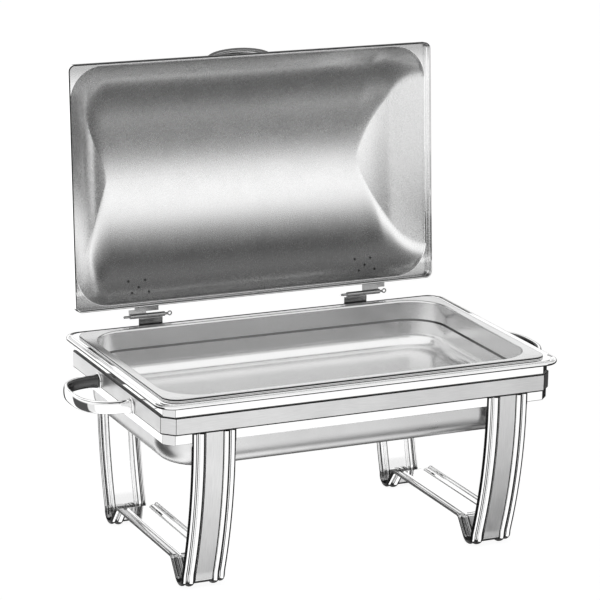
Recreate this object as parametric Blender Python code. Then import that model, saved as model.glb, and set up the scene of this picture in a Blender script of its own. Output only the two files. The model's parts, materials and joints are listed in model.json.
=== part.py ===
"""A rectangular chafing dish with a hinged lid, standing open.

The stand is a rectangular frame on two U-shaped strip legs. A water pan drops into the
frame, a full-size gastronorm food pan hangs in the water pan, and a domed lid is hinged to
the water pan's rear rim by two loose-pin hinges.

Units are metres, with +X to the right, +Y to the back and +Z up. Lengths below are written
in millimetres and multiplied by MM. Geometry is drawn round the stand's own centre line, and
the "stand_centre" empty then moves it so that the open dish is centred on the world origin.
"""

import math

import bmesh
import bpy
from mathutils import Matrix, Vector

MM = 0.001

# Contact pieces keep this much air between them.
GAP = 0.3 * MM
SHEET = 1.2 * MM

# The open lid reaches far behind the stand, so the stand sits in front of the world origin.
STAND_CENTRE_Y = -43.6 * MM

# Stand frame: a sheet skirt with a satin band round its middle.
SKIRT_HALF_X = 268 * MM
SKIRT_HALF_Y = 166 * MM
SKIRT_BOTTOM = 202 * MM
SKIRT_TOP = 254.5 * MM
SKIRT_SHEET = 1.5 * MM
SKIRT_FLANGE = 8 * MM
SKIRT_CHAMFER = 12 * MM
BAND_BOTTOM = 214.6 * MM
BAND_TOP = 237.8 * MM
BAND_PROUD = 2.8 * MM

# Legs: one ribbed strip on each side, from the front of the frame to the back.
LEG_X = 204.3 * MM
LEG_HALF_WIDTH = 29.35 * MM
LEG_SHEET = 1.5 * MM
LEG_EDGE = 4 * MM
LEG_TOP = 214.2 * MM
LEG_FACE_Y = SKIRT_HALF_Y + GAP
LEG_BOW_START = 200 * MM
LEG_BOW = 36 * MM
LEG_BOW_POWER = 2
LEG_BEAD_X = 16.5 * MM
LEG_BEAD_HALF = 4.1 * MM
LEG_BEAD_RISE = 3 * MM
TOE_RADIUS = 14 * MM
TOE_FLAT_ANGLE = math.radians(7)
TOE_EXIT_ANGLE = math.radians(52)
CROSSBAR_BEND = 8 * MM
CROSSBAR_TOP = 32 * MM
LEG_SCREW_SPACING = 14 * MM
LEG_SCREW_Z = 209 * MM

# Side handles: a bowed strap on each end of the frame.
HANDLE_Z = 223.5 * MM
HANDLE_HALF_SPAN = 58 * MM
HANDLE_REACH = 60 * MM
HANDLE_ROUNDNESS = 0.75
STRAP_HALF_HEIGHT = 8.2 * MM
STRAP_HALF_THICKNESS = 3.6 * MM
STRAP_SQUARENESS = 0.6
STRAP_FLARE = 0.18
STRAP_FLARE_SHARE = 0.22
COLLAR_THICKNESS = 2 * MM
COLLAR_RADIUS = 10.6 * MM
COLLAR_FACE_RADIUS = 9.4 * MM

# Pan-head screws, as (shank radius, shank length, head radius, head height).
LEG_SCREW = (1.5 * MM, 2.9 * MM, 3.8 * MM, 2.6 * MM)
HANDLE_SCREW = (2 * MM, 14 * MM, 4.2 * MM, 3 * MM)
SCREW_HEAD_BEVEL = 1.6 * MM
SCREW_BEVEL_HEIGHT = 0.8 * MM
HOLE_GAP = 0.3 * MM

# Water pan, with a turned-down rim that rests on the skirt.
RIM_HALF_X = 279 * MM
RIM_HALF_Y = 177.25 * MM
RIM_TOP = 256 * MM
RIM_LIP = 5.5 * MM
RIM_CORNER = 24 * MM
WATER_HALF_X = 257.5 * MM
WATER_HALF_Y = 154.5 * MM
WATER_CORNER = 55 * MM
WATER_BOTTOM = 161 * MM
WATER_BEND = 26 * MM

# Food pan, gastronorm size 1/1, 65 mm deep.
FLANGE_HALF_X = 265 * MM
FLANGE_HALF_Y = 162.5 * MM
FLANGE_TOP = 259 * MM
FLANGE_CORNER = 20 * MM
FOOD_HALF_X = 253 * MM
FOOD_HALF_Y = 150.5 * MM
FOOD_CORNER = 50 * MM
FOOD_BOTTOM = 194 * MM
FOOD_BEND = 16 * MM
FOOD_SHOULDER = 233 * MM
FOOD_STEP = 3 * MM

# Lid, drawn closed. It sits a little to the right of the pan's centre line.
LID_X = 3 * MM
LID_OPEN_ANGLE = math.radians(94.55)
LID_HALF_X = 263 * MM
LID_HALF_Y = 164 * MM
LID_CORNER = 9 * MM
LID_LIP_BOTTOM = FLANGE_TOP + 0.4 * MM
LID_LIP = 11 * MM
LID_FLANGE = 4.5 * MM
LID_MOUTH_CORNER = 46 * MM
LID_SHEET = 1 * MM
DOME_HEIGHT = 69 * MM
DOME_END_SLOPE = 0.72
DOME_END_BLEND = 14 * MM
DOME_RIDGE_CORNER = 44 * MM
LID_HANDLE_HEIGHT = 26 * MM
LID_HANDLE_X = -3 * MM
LID_HANDLE_HALF_SPAN = 46 * MM
LID_HANDLE_REACH = 18.5 * MM
LID_HANDLE_ROUNDNESS = 1
LID_STRAP_HALF_HEIGHT = 6.56 * MM
LID_COLLAR_RADIUS = 8.4 * MM
LID_COLLAR_FACE_RADIUS = 6.6 * MM
RIDGE_SHARE = 0.985

# Hinges.
HINGE_Y = 177.5 * MM
HINGE_Z = 268 * MM
KNUCKLE_RADIUS = 3.2 * MM
BORE_RADIUS = 2 * MM
PIN_RADIUS = 1.7 * MM
LEAF_SHEET = 1.5 * MM
LEAF_WIDTH = 34 * MM
KNUCKLE_LENGTH = 25 * MM
HINGE_SPLIT_X = 160 * MM
BASE_LEAF_X = 151.7 * MM
BASE_LEAF_BOTTOM = RIM_TOP - RIM_LIP
BASE_LEAF_TOP = 264.2 * MM
LID_LEAF_X = 168.4 * MM
LID_LEAF_SHIFT = 12 * MM
LID_LEAF_BEND = 6 * MM
LID_LEAF_TOP = 44 * MM
RIVET_SPREAD_X = 12 * MM
RIVET_ROW_LOW = 22 * MM
RIVET_ROW_STEP = 6.5 * MM
RIVET_RADIUS = 1 * MM
RIVET_HEAD_RADIUS = 2.1 * MM
RIVET_HEAD_HEIGHT = 0.85 * MM
RIVET_TAIL_RADIUS = 1.75 * MM
RIVET_TAIL_HEIGHT = 0.7 * MM
BASE_RIVET_SPREAD_X = 10 * MM
BASE_RIVET_Z = RIM_TOP - RIM_LIP / 2 - 0.4 * MM
PIN_TIP_BEYOND = 9 * MM
PIN_EYE_BEYOND = 5 * MM
PIN_EYE_RADIUS = 2.6 * MM
PIN_EYE_WIRE = 0.9 * MM

CORNER_STEPS = 5


# ---------------------------------------------------------------- scene and materials


def clear_scene():
    for thing in list(bpy.data.objects):
        bpy.data.objects.remove(thing, do_unlink=True)


def metal(name, shade, roughness):
    made = bpy.data.materials.new(name)
    made.use_nodes = True
    made.diffuse_color = (shade, shade, shade, 1)
    shader = made.node_tree.nodes["Principled BSDF"]
    shader.inputs["Base Color"].default_value = (shade, shade, shade, 1)
    shader.inputs["Metallic"].default_value = 1
    shader.inputs["Roughness"].default_value = roughness
    return made


def empty(name, location, parent=None):
    made = bpy.data.objects.new(name, None)
    made.location = location
    made.parent = parent
    bpy.context.collection.objects.link(made)
    return made


# ---------------------------------------------------------------- mesh building blocks


def new_object(name, bm, material=None):
    """Turn bm into an object at the world origin, with its normals facing outwards."""
    bmesh.ops.recalc_face_normals(bm, faces=bm.faces)
    mesh = bpy.data.meshes.new(name)
    bm.to_mesh(mesh)
    bm.free()
    made = bpy.data.objects.new(name, mesh)
    if material:
        mesh.materials.append(material)
    bpy.context.collection.objects.link(made)
    return made


def smooth(thing, angle=35):
    thing.data.shade_smooth()
    thing.data.set_sharp_from_angle(angle=math.radians(angle))


def attach(thing, parent, pivot=Vector()):
    """Hang a piece, drawn in stand coordinates, on an empty that stands at pivot."""
    thing.data.transform(Matrix.Translation(-Vector(pivot)))
    thing.parent = parent


def rounded_rectangle(half_x, half_y, radius, z, steps=CORNER_STEPS, centre_x=0):
    """One loop of points, anticlockwise from above. One step makes chamfered corners."""
    loop = []
    corners = ((1, 1), (-1, 1), (-1, -1), (1, -1))
    for quarter, (side_x, side_y) in enumerate(corners):
        middle_x = centre_x + side_x * (half_x - radius)
        middle_y = side_y * (half_y - radius)
        for step in range(steps + 1):
            angle = math.radians(90) * (quarter + step / steps)
            x = middle_x + radius * math.cos(angle)
            y = middle_y + radius * math.sin(angle)
            loop.append(Vector((x, y, z)))
    return loop


def loft(name, loops, material=None, closed=False):
    """Skin a row of equal loops. An open row gets a flat face on each end."""
    bm = bmesh.new()
    rows = [[bm.verts.new(point) for point in loop] for loop in loops]
    pairs = list(zip(rows, rows[1:]))
    if closed:
        pairs.append((rows[-1], rows[0]))
    count = len(rows[0])
    for row, following in pairs:
        for i in range(count):
            j = (i + 1) % count
            bm.faces.new((row[i], row[j], following[j], following[i]))
    if not closed:
        bm.faces.new(rows[0])
        bm.faces.new(rows[-1])
    return new_object(name, bm, material)


def extrude_outline(name, outline, x_low, x_high, material=None):
    """Extrude an outline of (y, z) points along X."""
    loops = [[Vector((x, y, z)) for y, z in outline] for x in (x_low, x_high)]
    return loft(name, loops, material)


def rod(name, radius, start, end, material=None, segments=16):
    """A straight cylinder between two points."""
    start, end = Vector(start), Vector(end)
    turn = (end - start).to_track_quat("Z", "Y")
    loops = []
    for middle in (start, end):
        loop = []
        for i in range(segments):
            angle = math.tau * i / segments
            spoke = Vector((math.cos(angle), math.sin(angle), 0)) * radius
            loop.append(middle + turn @ spoke)
        loops.append(loop)
    return loft(name, loops, material)


def turned(name, stations, start, direction, material, segments=12):
    """A body turned about the line from start along direction: (distance, radius) pairs."""
    start, direction = Vector(start), Vector(direction).normalized()
    turn = direction.to_track_quat("Z", "Y")
    loops = []
    for distance, radius in stations:
        loop = []
        for i in range(segments):
            angle = math.tau * i / segments
            spoke = Vector((math.cos(angle), math.sin(angle), 0)) * radius
            loop.append(start + direction * distance + turn @ spoke)
        loops.append(loop)
    return loft(name, loops, material)


def screw(name, sizes, seat, direction, material):
    """A pan-head screw. Its head lies against seat and its shank runs along direction."""
    shank_radius, shank_length, head_radius, head_height = sizes
    stations = (
        (0, head_radius - SCREW_HEAD_BEVEL),
        (SCREW_BEVEL_HEIGHT, head_radius),
        (head_height, head_radius),
        (head_height, shank_radius),
        (head_height + shank_length, shank_radius),
    )
    return turned(name, stations, seat - direction * head_height, direction, material)


def rivet(name, stack, inner_face, direction, material):
    """A set rivet through a stack of sheets that starts at inner_face."""
    far_face = RIVET_TAIL_HEIGHT + stack + 2 * GAP
    stations = (
        (0, 0.6 * RIVET_TAIL_RADIUS),
        (RIVET_TAIL_HEIGHT, RIVET_TAIL_RADIUS),
        (RIVET_TAIL_HEIGHT, RIVET_RADIUS),
        (far_face, RIVET_RADIUS),
        (far_face, RIVET_HEAD_RADIUS),
        (far_face + RIVET_HEAD_HEIGHT, 0.7 * RIVET_HEAD_RADIUS),
    )
    start = inner_face - direction * (GAP + RIVET_TAIL_HEIGHT)
    return turned(name, stations, start, direction, material, 8)


def pierce(targets, radius, start, end):
    """Drill the same straight hole through each of the targets."""
    for target in targets:
        combine(target, [rod("hole", radius + HOLE_GAP, start, end, segments=8)], "DIFFERENCE")


def combine(target, tools, operation):
    """Apply a Boolean with each tool in turn, and remove the tools."""
    for tool in tools:
        modifier = target.modifiers.new("combine", "BOOLEAN")
        modifier.operation = operation
        modifier.solver = "EXACT"
        modifier.object = tool
        graph = bpy.context.evaluated_depsgraph_get()
        result = bpy.data.meshes.new_from_object(target.evaluated_get(graph))
        target.modifiers.clear()
        target.data = result
        bpy.data.objects.remove(tool, do_unlink=True)


def sides():
    return (("left", -1), ("right", 1))


# ---------------------------------------------------------------- stand


def make_frame(chrome):
    """The skirt, with a flange turned in along its bottom edge."""
    profile = (
        (0, SKIRT_BOTTOM),
        (0, SKIRT_TOP),
        (SKIRT_SHEET, SKIRT_TOP),
        (SKIRT_SHEET, SKIRT_BOTTOM + SKIRT_SHEET),
        (SKIRT_FLANGE, SKIRT_BOTTOM + SKIRT_SHEET),
        (SKIRT_FLANGE, SKIRT_BOTTOM),
    )
    loops = [
        rounded_rectangle(
            SKIRT_HALF_X - inset, SKIRT_HALF_Y - inset, SKIRT_CHAMFER - inset, z, steps=1
        )
        for inset, z in profile
    ]
    return loft("stand_frame", loops, chrome, closed=True)


def make_band(satin):
    profile = (
        (BAND_PROUD, BAND_BOTTOM),
        (BAND_PROUD, BAND_TOP),
        (GAP, BAND_TOP),
        (GAP, BAND_BOTTOM),
    )
    loops = [
        rounded_rectangle(
            SKIRT_HALF_X + outset, SKIRT_HALF_Y + outset, SKIRT_CHAMFER + outset, z, steps=1
        )
        for outset, z in profile
    ]
    return loft("trim_band", loops, satin, closed=True)


def leg_centre_line():
    """The front half of the strip's line, as (y, z, heading) from the top to mid-crossbar.

    The heading is measured from +Y, and the strip's outer face is on its right.
    """
    line = [(-LEG_FACE_Y, LEG_TOP, math.radians(-90))]
    toe_z = (TOE_RADIUS + LEG_SHEET + LEG_BEAD_RISE) * math.cos(TOE_FLAT_ANGLE)
    bow_steps = 5
    for step in range(bow_steps + 1):
        drop = (LEG_BOW_START - toe_z) * step / bow_steps
        share = drop / LEG_BOW_START
        y = -LEG_FACE_Y + LEG_BOW * share**LEG_BOW_POWER
        slope = LEG_BOW * LEG_BOW_POWER * share ** (LEG_BOW_POWER - 1) / LEG_BOW_START
        line.append((y, LEG_BOW_START - drop, math.atan2(-1, slope)))
    # The toe turns from the bow's last heading round to the rising inner branch.
    entry_y, entry_heading = line[-1][0], line[-1][2]
    toe_y = entry_y - TOE_RADIUS * math.sin(entry_heading)
    headings = [
        entry_heading * 0.6,
        entry_heading * 0.3,
        -TOE_FLAT_ANGLE,
        TOE_FLAT_ANGLE,
        TOE_EXIT_ANGLE * 0.55,
        TOE_EXIT_ANGLE,
    ]
    for heading in headings:
        y = toe_y + TOE_RADIUS * math.sin(heading)
        z = toe_z - TOE_RADIUS * math.cos(heading)
        line.append((y, z, heading))
    # A straight rise, then a bend into the level crossbar.
    bend_z = CROSSBAR_TOP - CROSSBAR_BEND
    rise_y, rise_z = line[-1][0], line[-1][1]
    bend_start_z = bend_z + CROSSBAR_BEND * math.cos(TOE_EXIT_ANGLE)
    bend_start_y = rise_y + (bend_start_z - rise_z) / math.tan(TOE_EXIT_ANGLE)
    bend_y = bend_start_y + CROSSBAR_BEND * math.sin(TOE_EXIT_ANGLE)
    for share in (1, 0.5, 0):
        heading = TOE_EXIT_ANGLE * share
        y = bend_y - CROSSBAR_BEND * math.sin(heading)
        z = bend_z + CROSSBAR_BEND * math.cos(heading)
        line.append((y, z, heading))
    return line


def leg_outline(edge):
    """The strip's section as (across, outward) points: flat web, two beads, turned edges.

    The turned edges reach back by edge from the face of the web.
    """
    crest_half = 0.36 * LEG_BEAD_HALF
    flank_half = 0.8 * LEG_BEAD_HALF
    flank_rise = 0.6 * LEG_BEAD_RISE
    shoulder = -0.4 * edge
    half = [
        (LEG_BEAD_X - LEG_BEAD_HALF, 0),
        (LEG_BEAD_X - flank_half, flank_rise),
        (LEG_BEAD_X - crest_half, LEG_BEAD_RISE),
        (LEG_BEAD_X + crest_half, LEG_BEAD_RISE),
        (LEG_BEAD_X + flank_half, flank_rise),
        (LEG_BEAD_X + LEG_BEAD_HALF, 0),
        (LEG_HALF_WIDTH - 6.6 * MM, 0),
        (LEG_HALF_WIDTH - 4.6 * MM, 1.2 * MM),
        (LEG_HALF_WIDTH - 2 * MM, 1 * MM),
        (LEG_HALF_WIDTH, shoulder),
        (LEG_HALF_WIDTH, -edge),
    ]
    inner = [
        (LEG_HALF_WIDTH - LEG_SHEET, -edge),
        (LEG_HALF_WIDTH - LEG_SHEET, shoulder - 0.05 * edge),
        (LEG_HALF_WIDTH - 3.4 * MM, -0.4 * MM),
        (LEG_HALF_WIDTH - 6 * MM, -LEG_SHEET),
        (LEG_BEAD_X + LEG_BEAD_HALF - 0.8 * MM, -LEG_SHEET),
        (LEG_BEAD_X + crest_half, LEG_BEAD_RISE - LEG_SHEET),
        (LEG_BEAD_X - crest_half, LEG_BEAD_RISE - LEG_SHEET),
        (LEG_BEAD_X - LEG_BEAD_HALF + 0.8 * MM, -LEG_SHEET),
    ]
    right = half + inner
    mirrored = [(-across, outward) for across, outward in reversed(right)]
    return [(across, outward + LEG_SHEET) for across, outward in right + mirrored]


def make_leg(name, side, chrome):
    front = leg_centre_line()
    back = [(-y, z, -heading) for y, z, heading in reversed(front)]
    loops = []
    for y, z, heading in front + back:
        # The edges are turned right back only below the skirt, which the web lies against.
        outline = leg_outline(LEG_SHEET if z >= LEG_BOW_START else LEG_EDGE)
        outward = Vector((0, math.sin(heading), -math.cos(heading)))
        middle = Vector((side * LEG_X, y, z))
        loops.append([middle + Vector((across, 0, 0)) + outward * out for across, out in outline])
    leg = loft(name, loops, chrome)
    smooth(leg)
    return leg


def fasten_legs(frame, legs, steel):
    """Screws from inside the skirt into the top of each leg."""
    made = []
    for (_, side_x), leg in zip(sides(), legs):
        for side_y in (-1, 1):
            for offset in (-LEG_SCREW_SPACING / 2, LEG_SCREW_SPACING / 2):
                x = side_x * LEG_X + offset
                seat = Vector((x, side_y * (SKIRT_HALF_Y - SKIRT_SHEET - GAP), LEG_SCREW_Z))
                outward = Vector((0, side_y, 0))
                hole_end = seat + outward * (LEG_SCREW[1] + HOLE_GAP)
                pierce((frame, leg), LEG_SCREW[0], seat - outward * GAP, hole_end)
                name = f"leg_screw_{len(made) + 1}"
                made.append(screw(name, LEG_SCREW, seat, outward, steel))
    return made


# ---------------------------------------------------------------- handles


def strap_loops(half_span, reach, half_height, half_thickness, roundness):
    """Sections of a bowed strap, in local axes: X across the span, Y outwards, Z its height.

    A roundness of 1 bows the strap in half an ellipse, and less makes the bow squarer. The
    strap flares where its two ends meet their collars.
    """
    bow_steps = 16
    side_points = 6
    line = []
    for step in range(bow_steps + 1):
        angle = math.pi * step / bow_steps
        cosine = math.cos(angle)
        x = -half_span * math.copysign(abs(cosine) ** roundness, cosine)
        line.append(Vector((x, (reach - half_thickness) * math.sin(angle) ** roundness, 0)))
    loops = []
    for step, point in enumerate(line):
        ahead = line[min(step + 1, bow_steps)]
        behind = line[max(step - 1, 0)]
        tangent = (ahead - behind).normalized()
        if step in (0, bow_steps):
            tangent = Vector((0, math.copysign(1, tangent.y), 0))
        outward = Vector((-tangent.y, tangent.x, 0))
        nearness = max(0, 1 - point.y / (STRAP_FLARE_SHARE * reach))
        flare = 1 + STRAP_FLARE * nearness**2
        loop = []
        for side in (1, -1):
            for index in range(side_points):
                turn = math.radians(90) * (index / (side_points - 1) * 2 - 1)
                across = side * half_thickness * math.cos(turn) ** STRAP_SQUARENESS
                up = side * half_height * math.sin(turn)
                loop.append(point + outward * across * flare + Vector((0, 0, up * flare)))
        loops.append(loop)
    return loops


def make_side_handles(frame, band, chrome, steel):
    """Two handles, each with two collars and two screws from inside the skirt."""
    pieces = []
    collar_face = SKIRT_HALF_X + BAND_PROUD + GAP
    strap_face = collar_face + COLLAR_THICKNESS + GAP
    number = 0
    for name, side in sides():
        loops = strap_loops(
            HANDLE_HALF_SPAN,
            HANDLE_REACH,
            STRAP_HALF_HEIGHT,
            STRAP_HALF_THICKNESS,
            HANDLE_ROUNDNESS,
        )
        handle = loft(f"handle_{name}", loops, chrome)
        turn = Matrix.Rotation(math.radians(-90 * side), 4, "Z")
        place = Matrix.Translation((side * strap_face, 0, HANDLE_Z))
        handle.data.transform(place @ turn)
        smooth(handle, 50)
        outward = Vector((side, 0, 0))
        for side_y in (-1, 1):
            number += 1
            y = side_y * HANDLE_HALF_SPAN
            stations = (
                (0, COLLAR_RADIUS),
                (COLLAR_THICKNESS * 0.6, COLLAR_RADIUS),
                (COLLAR_THICKNESS, COLLAR_FACE_RADIUS),
            )
            start = Vector((side * collar_face, y, HANDLE_Z))
            collar = turned(f"handle_collar_{number}", stations, start, outward, chrome, 24)
            seat = Vector((side * (SKIRT_HALF_X - SKIRT_SHEET - GAP), y, HANDLE_Z))
            hole_end = seat + outward * (HANDLE_SCREW[1] + HOLE_GAP)
            pierce(
                (frame, band, handle, collar), HANDLE_SCREW[0], seat - outward * GAP, hole_end
            )
            name_of_screw = f"handle_screw_{number}"
            pieces += [collar, screw(name_of_screw, HANDLE_SCREW, seat, outward, steel)]
        pieces.append(handle)
    return pieces


# ---------------------------------------------------------------- pans


def make_water_pan(satin):
    """A deep pan whose rim lies flat on the skirt and turns down round its outside."""
    loops = []

    def ring(outset, z, corner):
        loops.append(rounded_rectangle(WATER_HALF_X + outset, WATER_HALF_Y + outset, corner, z))

    def floor_bend(sheet):
        radius = WATER_BEND + sheet
        centre_z = WATER_BOTTOM + SHEET + WATER_BEND
        for step in range(6):
            angle = math.radians(90) * step / 5
            inset = WATER_BEND - radius * math.sin(angle)
            ring(-inset, centre_z - radius * math.cos(angle), WATER_CORNER - inset)

    def rim_ring(outset, z, corner=RIM_CORNER):
        half_x = RIM_HALF_X + outset
        half_y = RIM_HALF_Y + outset
        loops.append(rounded_rectangle(half_x, half_y, corner + outset, z))

    floor_bend(0)
    ring(0, RIM_TOP - 2 * MM, WATER_CORNER)
    ring(0.6 * MM, RIM_TOP - 0.6 * MM, WATER_CORNER)
    ring(2 * MM, RIM_TOP, WATER_CORNER)
    rim_ring(-1.5 * MM, RIM_TOP)
    rim_ring(-0.4 * MM, RIM_TOP - 0.5 * MM)
    rim_ring(0, RIM_TOP - 1.6 * MM)
    rim_ring(0, RIM_TOP - RIM_LIP)
    rim_ring(-SHEET, RIM_TOP - RIM_LIP)
    rim_ring(-SHEET, RIM_TOP - SHEET)
    ring(SHEET, RIM_TOP - SHEET - GAP, WATER_CORNER)
    outer = len(loops)
    floor_bend(SHEET)
    loops[outer:] = reversed(loops[outer:])
    pan = loft("water_pan", loops, satin)
    smooth(pan)
    return pan


def make_food_pan(satin):
    """A gastronorm pan with a stacking step in its wall and a turned-down flange."""
    loops = []

    def ring(outset, z):
        half_x = FOOD_HALF_X + outset
        half_y = FOOD_HALF_Y + outset
        loops.append(rounded_rectangle(half_x, half_y, FOOD_CORNER + outset, z))

    def flange_ring(outset, z):
        half_x = FLANGE_HALF_X + outset
        half_y = FLANGE_HALF_Y + outset
        loops.append(rounded_rectangle(half_x, half_y, FLANGE_CORNER + outset, z))

    def floor_bend(sheet):
        radius = FOOD_BEND + sheet
        centre_z = FOOD_BOTTOM + SHEET + FOOD_BEND
        for step in range(5):
            angle = math.radians(90) * step / 4
            inset = FOOD_BEND - radius * math.sin(angle)
            ring(-FOOD_STEP - inset, centre_z - radius * math.cos(angle))

    floor_bend(0)
    ring(-FOOD_STEP, FOOD_SHOULDER - 4 * MM)
    ring(-FOOD_STEP * 0.5, FOOD_SHOULDER - 1.5 * MM)
    ring(0, FOOD_SHOULDER)
    ring(0, FLANGE_TOP - 2 * MM)
    ring(0.6 * MM, FLANGE_TOP - 0.6 * MM)
    ring(2 * MM, FLANGE_TOP)
    flange_ring(-1.2 * MM, FLANGE_TOP)
    flange_ring(0, FLANGE_TOP - 1 * MM)
    flange_ring(0, RIM_TOP + GAP)
    flange_ring(-SHEET, RIM_TOP + GAP)
    flange_ring(-SHEET, FLANGE_TOP - SHEET)
    ring(SHEET, FLANGE_TOP - SHEET - GAP)
    ring(SHEET, FOOD_SHOULDER - SHEET)
    ring(SHEET - FOOD_STEP * 0.5, FOOD_SHOULDER - 2.5 * MM)
    outer = len(loops)
    floor_bend(SHEET)
    loops[outer:] = reversed(loops[outer:])
    pan = loft("food_pan", loops, satin)
    smooth(pan)
    return pan


# ---------------------------------------------------------------- lid


def lid_flange_top():
    return LID_LIP_BOTTOM + LID_LIP


def dome_half_y(height, outset=0):
    """Half the depth of the dome's barrel vault, at a height above the lid's flange."""
    half = LID_HALF_Y - LID_FLANGE + outset
    share = min(1, height / (DOME_HEIGHT + outset))
    return half * math.sqrt(1 - share * share)


def dome_half_x(height, outset=0):
    """Half the length of the dome: leaning ends that blend into the ridge."""
    half = LID_HALF_X - LID_FLANGE + outset
    left = DOME_HEIGHT + outset - height
    rounding = max(0, 1 - left / DOME_END_BLEND)
    return half - DOME_END_SLOPE * height - DOME_END_BLEND * 0.7 * rounding**2


def dome_loop(height, outset):
    half_x = dome_half_x(height, outset)
    half_y = dome_half_y(height, outset)
    share = height / (DOME_HEIGHT + outset)
    corner = LID_MOUTH_CORNER + (DOME_RIDGE_CORNER - LID_MOUTH_CORNER) * share + outset
    corner = min(corner, half_y * 0.98)
    z = lid_flange_top() + height
    return rounded_rectangle(half_x, half_y, corner, z, centre_x=LID_X)


def dome_loops(outset):
    """Loops from the flange to the ridge, closer together as the vault flattens."""
    steps = 11
    loops = []
    for step in range(steps + 1):
        angle = math.asin(RIDGE_SHARE) * step / steps
        height = (DOME_HEIGHT + outset) * math.sin(angle)
        loops.append(dome_loop(height, outset))
    return loops


def make_lid_shell(satin):
    flange = lid_flange_top()

    def lip(inset, z):
        half_x = LID_HALF_X - inset
        half_y = LID_HALF_Y - inset
        return rounded_rectangle(half_x, half_y, LID_CORNER - inset, z, centre_x=LID_X)

    outside = dome_loops(0)
    inside = dome_loops(-LID_SHEET)
    loops = list(reversed(outside))
    loops.append(lip(1.4 * MM, flange))
    loops.append(lip(0.4 * MM, flange - 0.4 * MM))
    loops.append(lip(0, flange - 1.4 * MM))
    loops.append(lip(0, LID_LIP_BOTTOM))
    loops.append(lip(LID_SHEET, LID_LIP_BOTTOM))
    loops.append(lip(LID_SHEET, flange - LID_SHEET))
    first = inside[0]
    loops.append([Vector((point.x, point.y, flange - LID_SHEET)) for point in first])
    loops += inside[1:]
    shell = loft("lid_shell", loops, satin)
    smooth(shell)
    return shell


def wall_point(height, outset):
    """A point on the closed lid's rear wall as (y, z), and its outward normal."""
    y = dome_half_y(height)
    half = LID_HALF_Y - LID_FLANGE
    normal = Vector((0, y / half**2, height / DOME_HEIGHT**2)).normalized()
    point = Vector((0, y, lid_flange_top() + height)) + normal * outset
    return point, normal


def make_lid_handle(chrome):
    """A small bowed strap that stands square off the front wall of the dome."""
    rear, normal = wall_point(LID_HANDLE_HEIGHT, 0)
    foot = Vector((LID_HANDLE_X, -rear.y, rear.z))
    outward = Vector((0, -normal.y, normal.z))
    up = outward.cross(Vector((1, 0, 0)))
    strap_start = 2 * GAP + 2 * COLLAR_THICKNESS
    loops = strap_loops(
        LID_HANDLE_HALF_SPAN,
        LID_HANDLE_REACH,
        LID_STRAP_HALF_HEIGHT,
        STRAP_HALF_THICKNESS,
        LID_HANDLE_ROUNDNESS,
    )
    handle = loft("lid_handle", loops, chrome)
    axes = Matrix((Vector((1, 0, 0)), outward, -up)).transposed().to_4x4()
    handle.data.transform(Matrix.Translation(foot + outward * strap_start) @ axes)
    smooth(handle, 50)
    pieces = [handle]
    for name, side in sides():
        start = foot + Vector((side * LID_HANDLE_HALF_SPAN, 0, 0)) + outward * GAP * 2
        stations = (
            (0, LID_COLLAR_RADIUS),
            (COLLAR_THICKNESS, LID_COLLAR_RADIUS),
            (2 * COLLAR_THICKNESS - GAP, LID_COLLAR_FACE_RADIUS),
        )
        pieces.append(turned(f"lid_handle_collar_{name}", stations, start, outward, chrome, 24))
    return pieces


# ---------------------------------------------------------------- hinges


def hinge_shift(side):
    """The lid's knuckles and the pins share the lid's offset from the centre line."""
    return side * HINGE_SPLIT_X + LID_X


def make_base_leaf(name, side, steel):
    """A flat leaf on the back of the water pan's rim, with the inner knuckle on top."""
    low = side * BASE_LEAF_X - LEAF_WIDTH / 2
    high = low + LEAF_WIDTH
    front = RIM_HALF_Y + GAP
    back = front + LEAF_SHEET

    def plate(bottom, top, x_low, x_high):
        outline = ((front, bottom), (back, bottom), (back, top), (front, top))
        return extrude_outline("plate", outline, x_low, x_high, steel)

    split = hinge_shift(side)
    inner_end = split - side * KNUCKLE_LENGTH
    knuckle_low, knuckle_high = sorted((split - side * GAP, inner_end))
    leaf = plate(BASE_LEAF_BOTTOM, BASE_LEAF_TOP, low, high)
    leaf.name = name
    axis = Vector((0, HINGE_Y, HINGE_Z))
    start = axis + Vector((knuckle_low, 0, 0))
    end = axis + Vector((knuckle_high, 0, 0))
    neck_low, neck_high = max(low, knuckle_low), min(high, knuckle_high)
    neck = plate(BASE_LEAF_TOP - 2 * MM, HINGE_Z + 0.5 * MM, neck_low, neck_high)
    knuckle = rod("knuckle", KNUCKLE_RADIUS, start, end)
    combine(leaf, [neck, knuckle], "UNION")
    overrun = Vector((2 * MM, 0, 0))
    combine(leaf, [rod("bore", BORE_RADIUS, start - overrun, end + overrun)], "DIFFERENCE")
    smooth(leaf)
    return leaf


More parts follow.
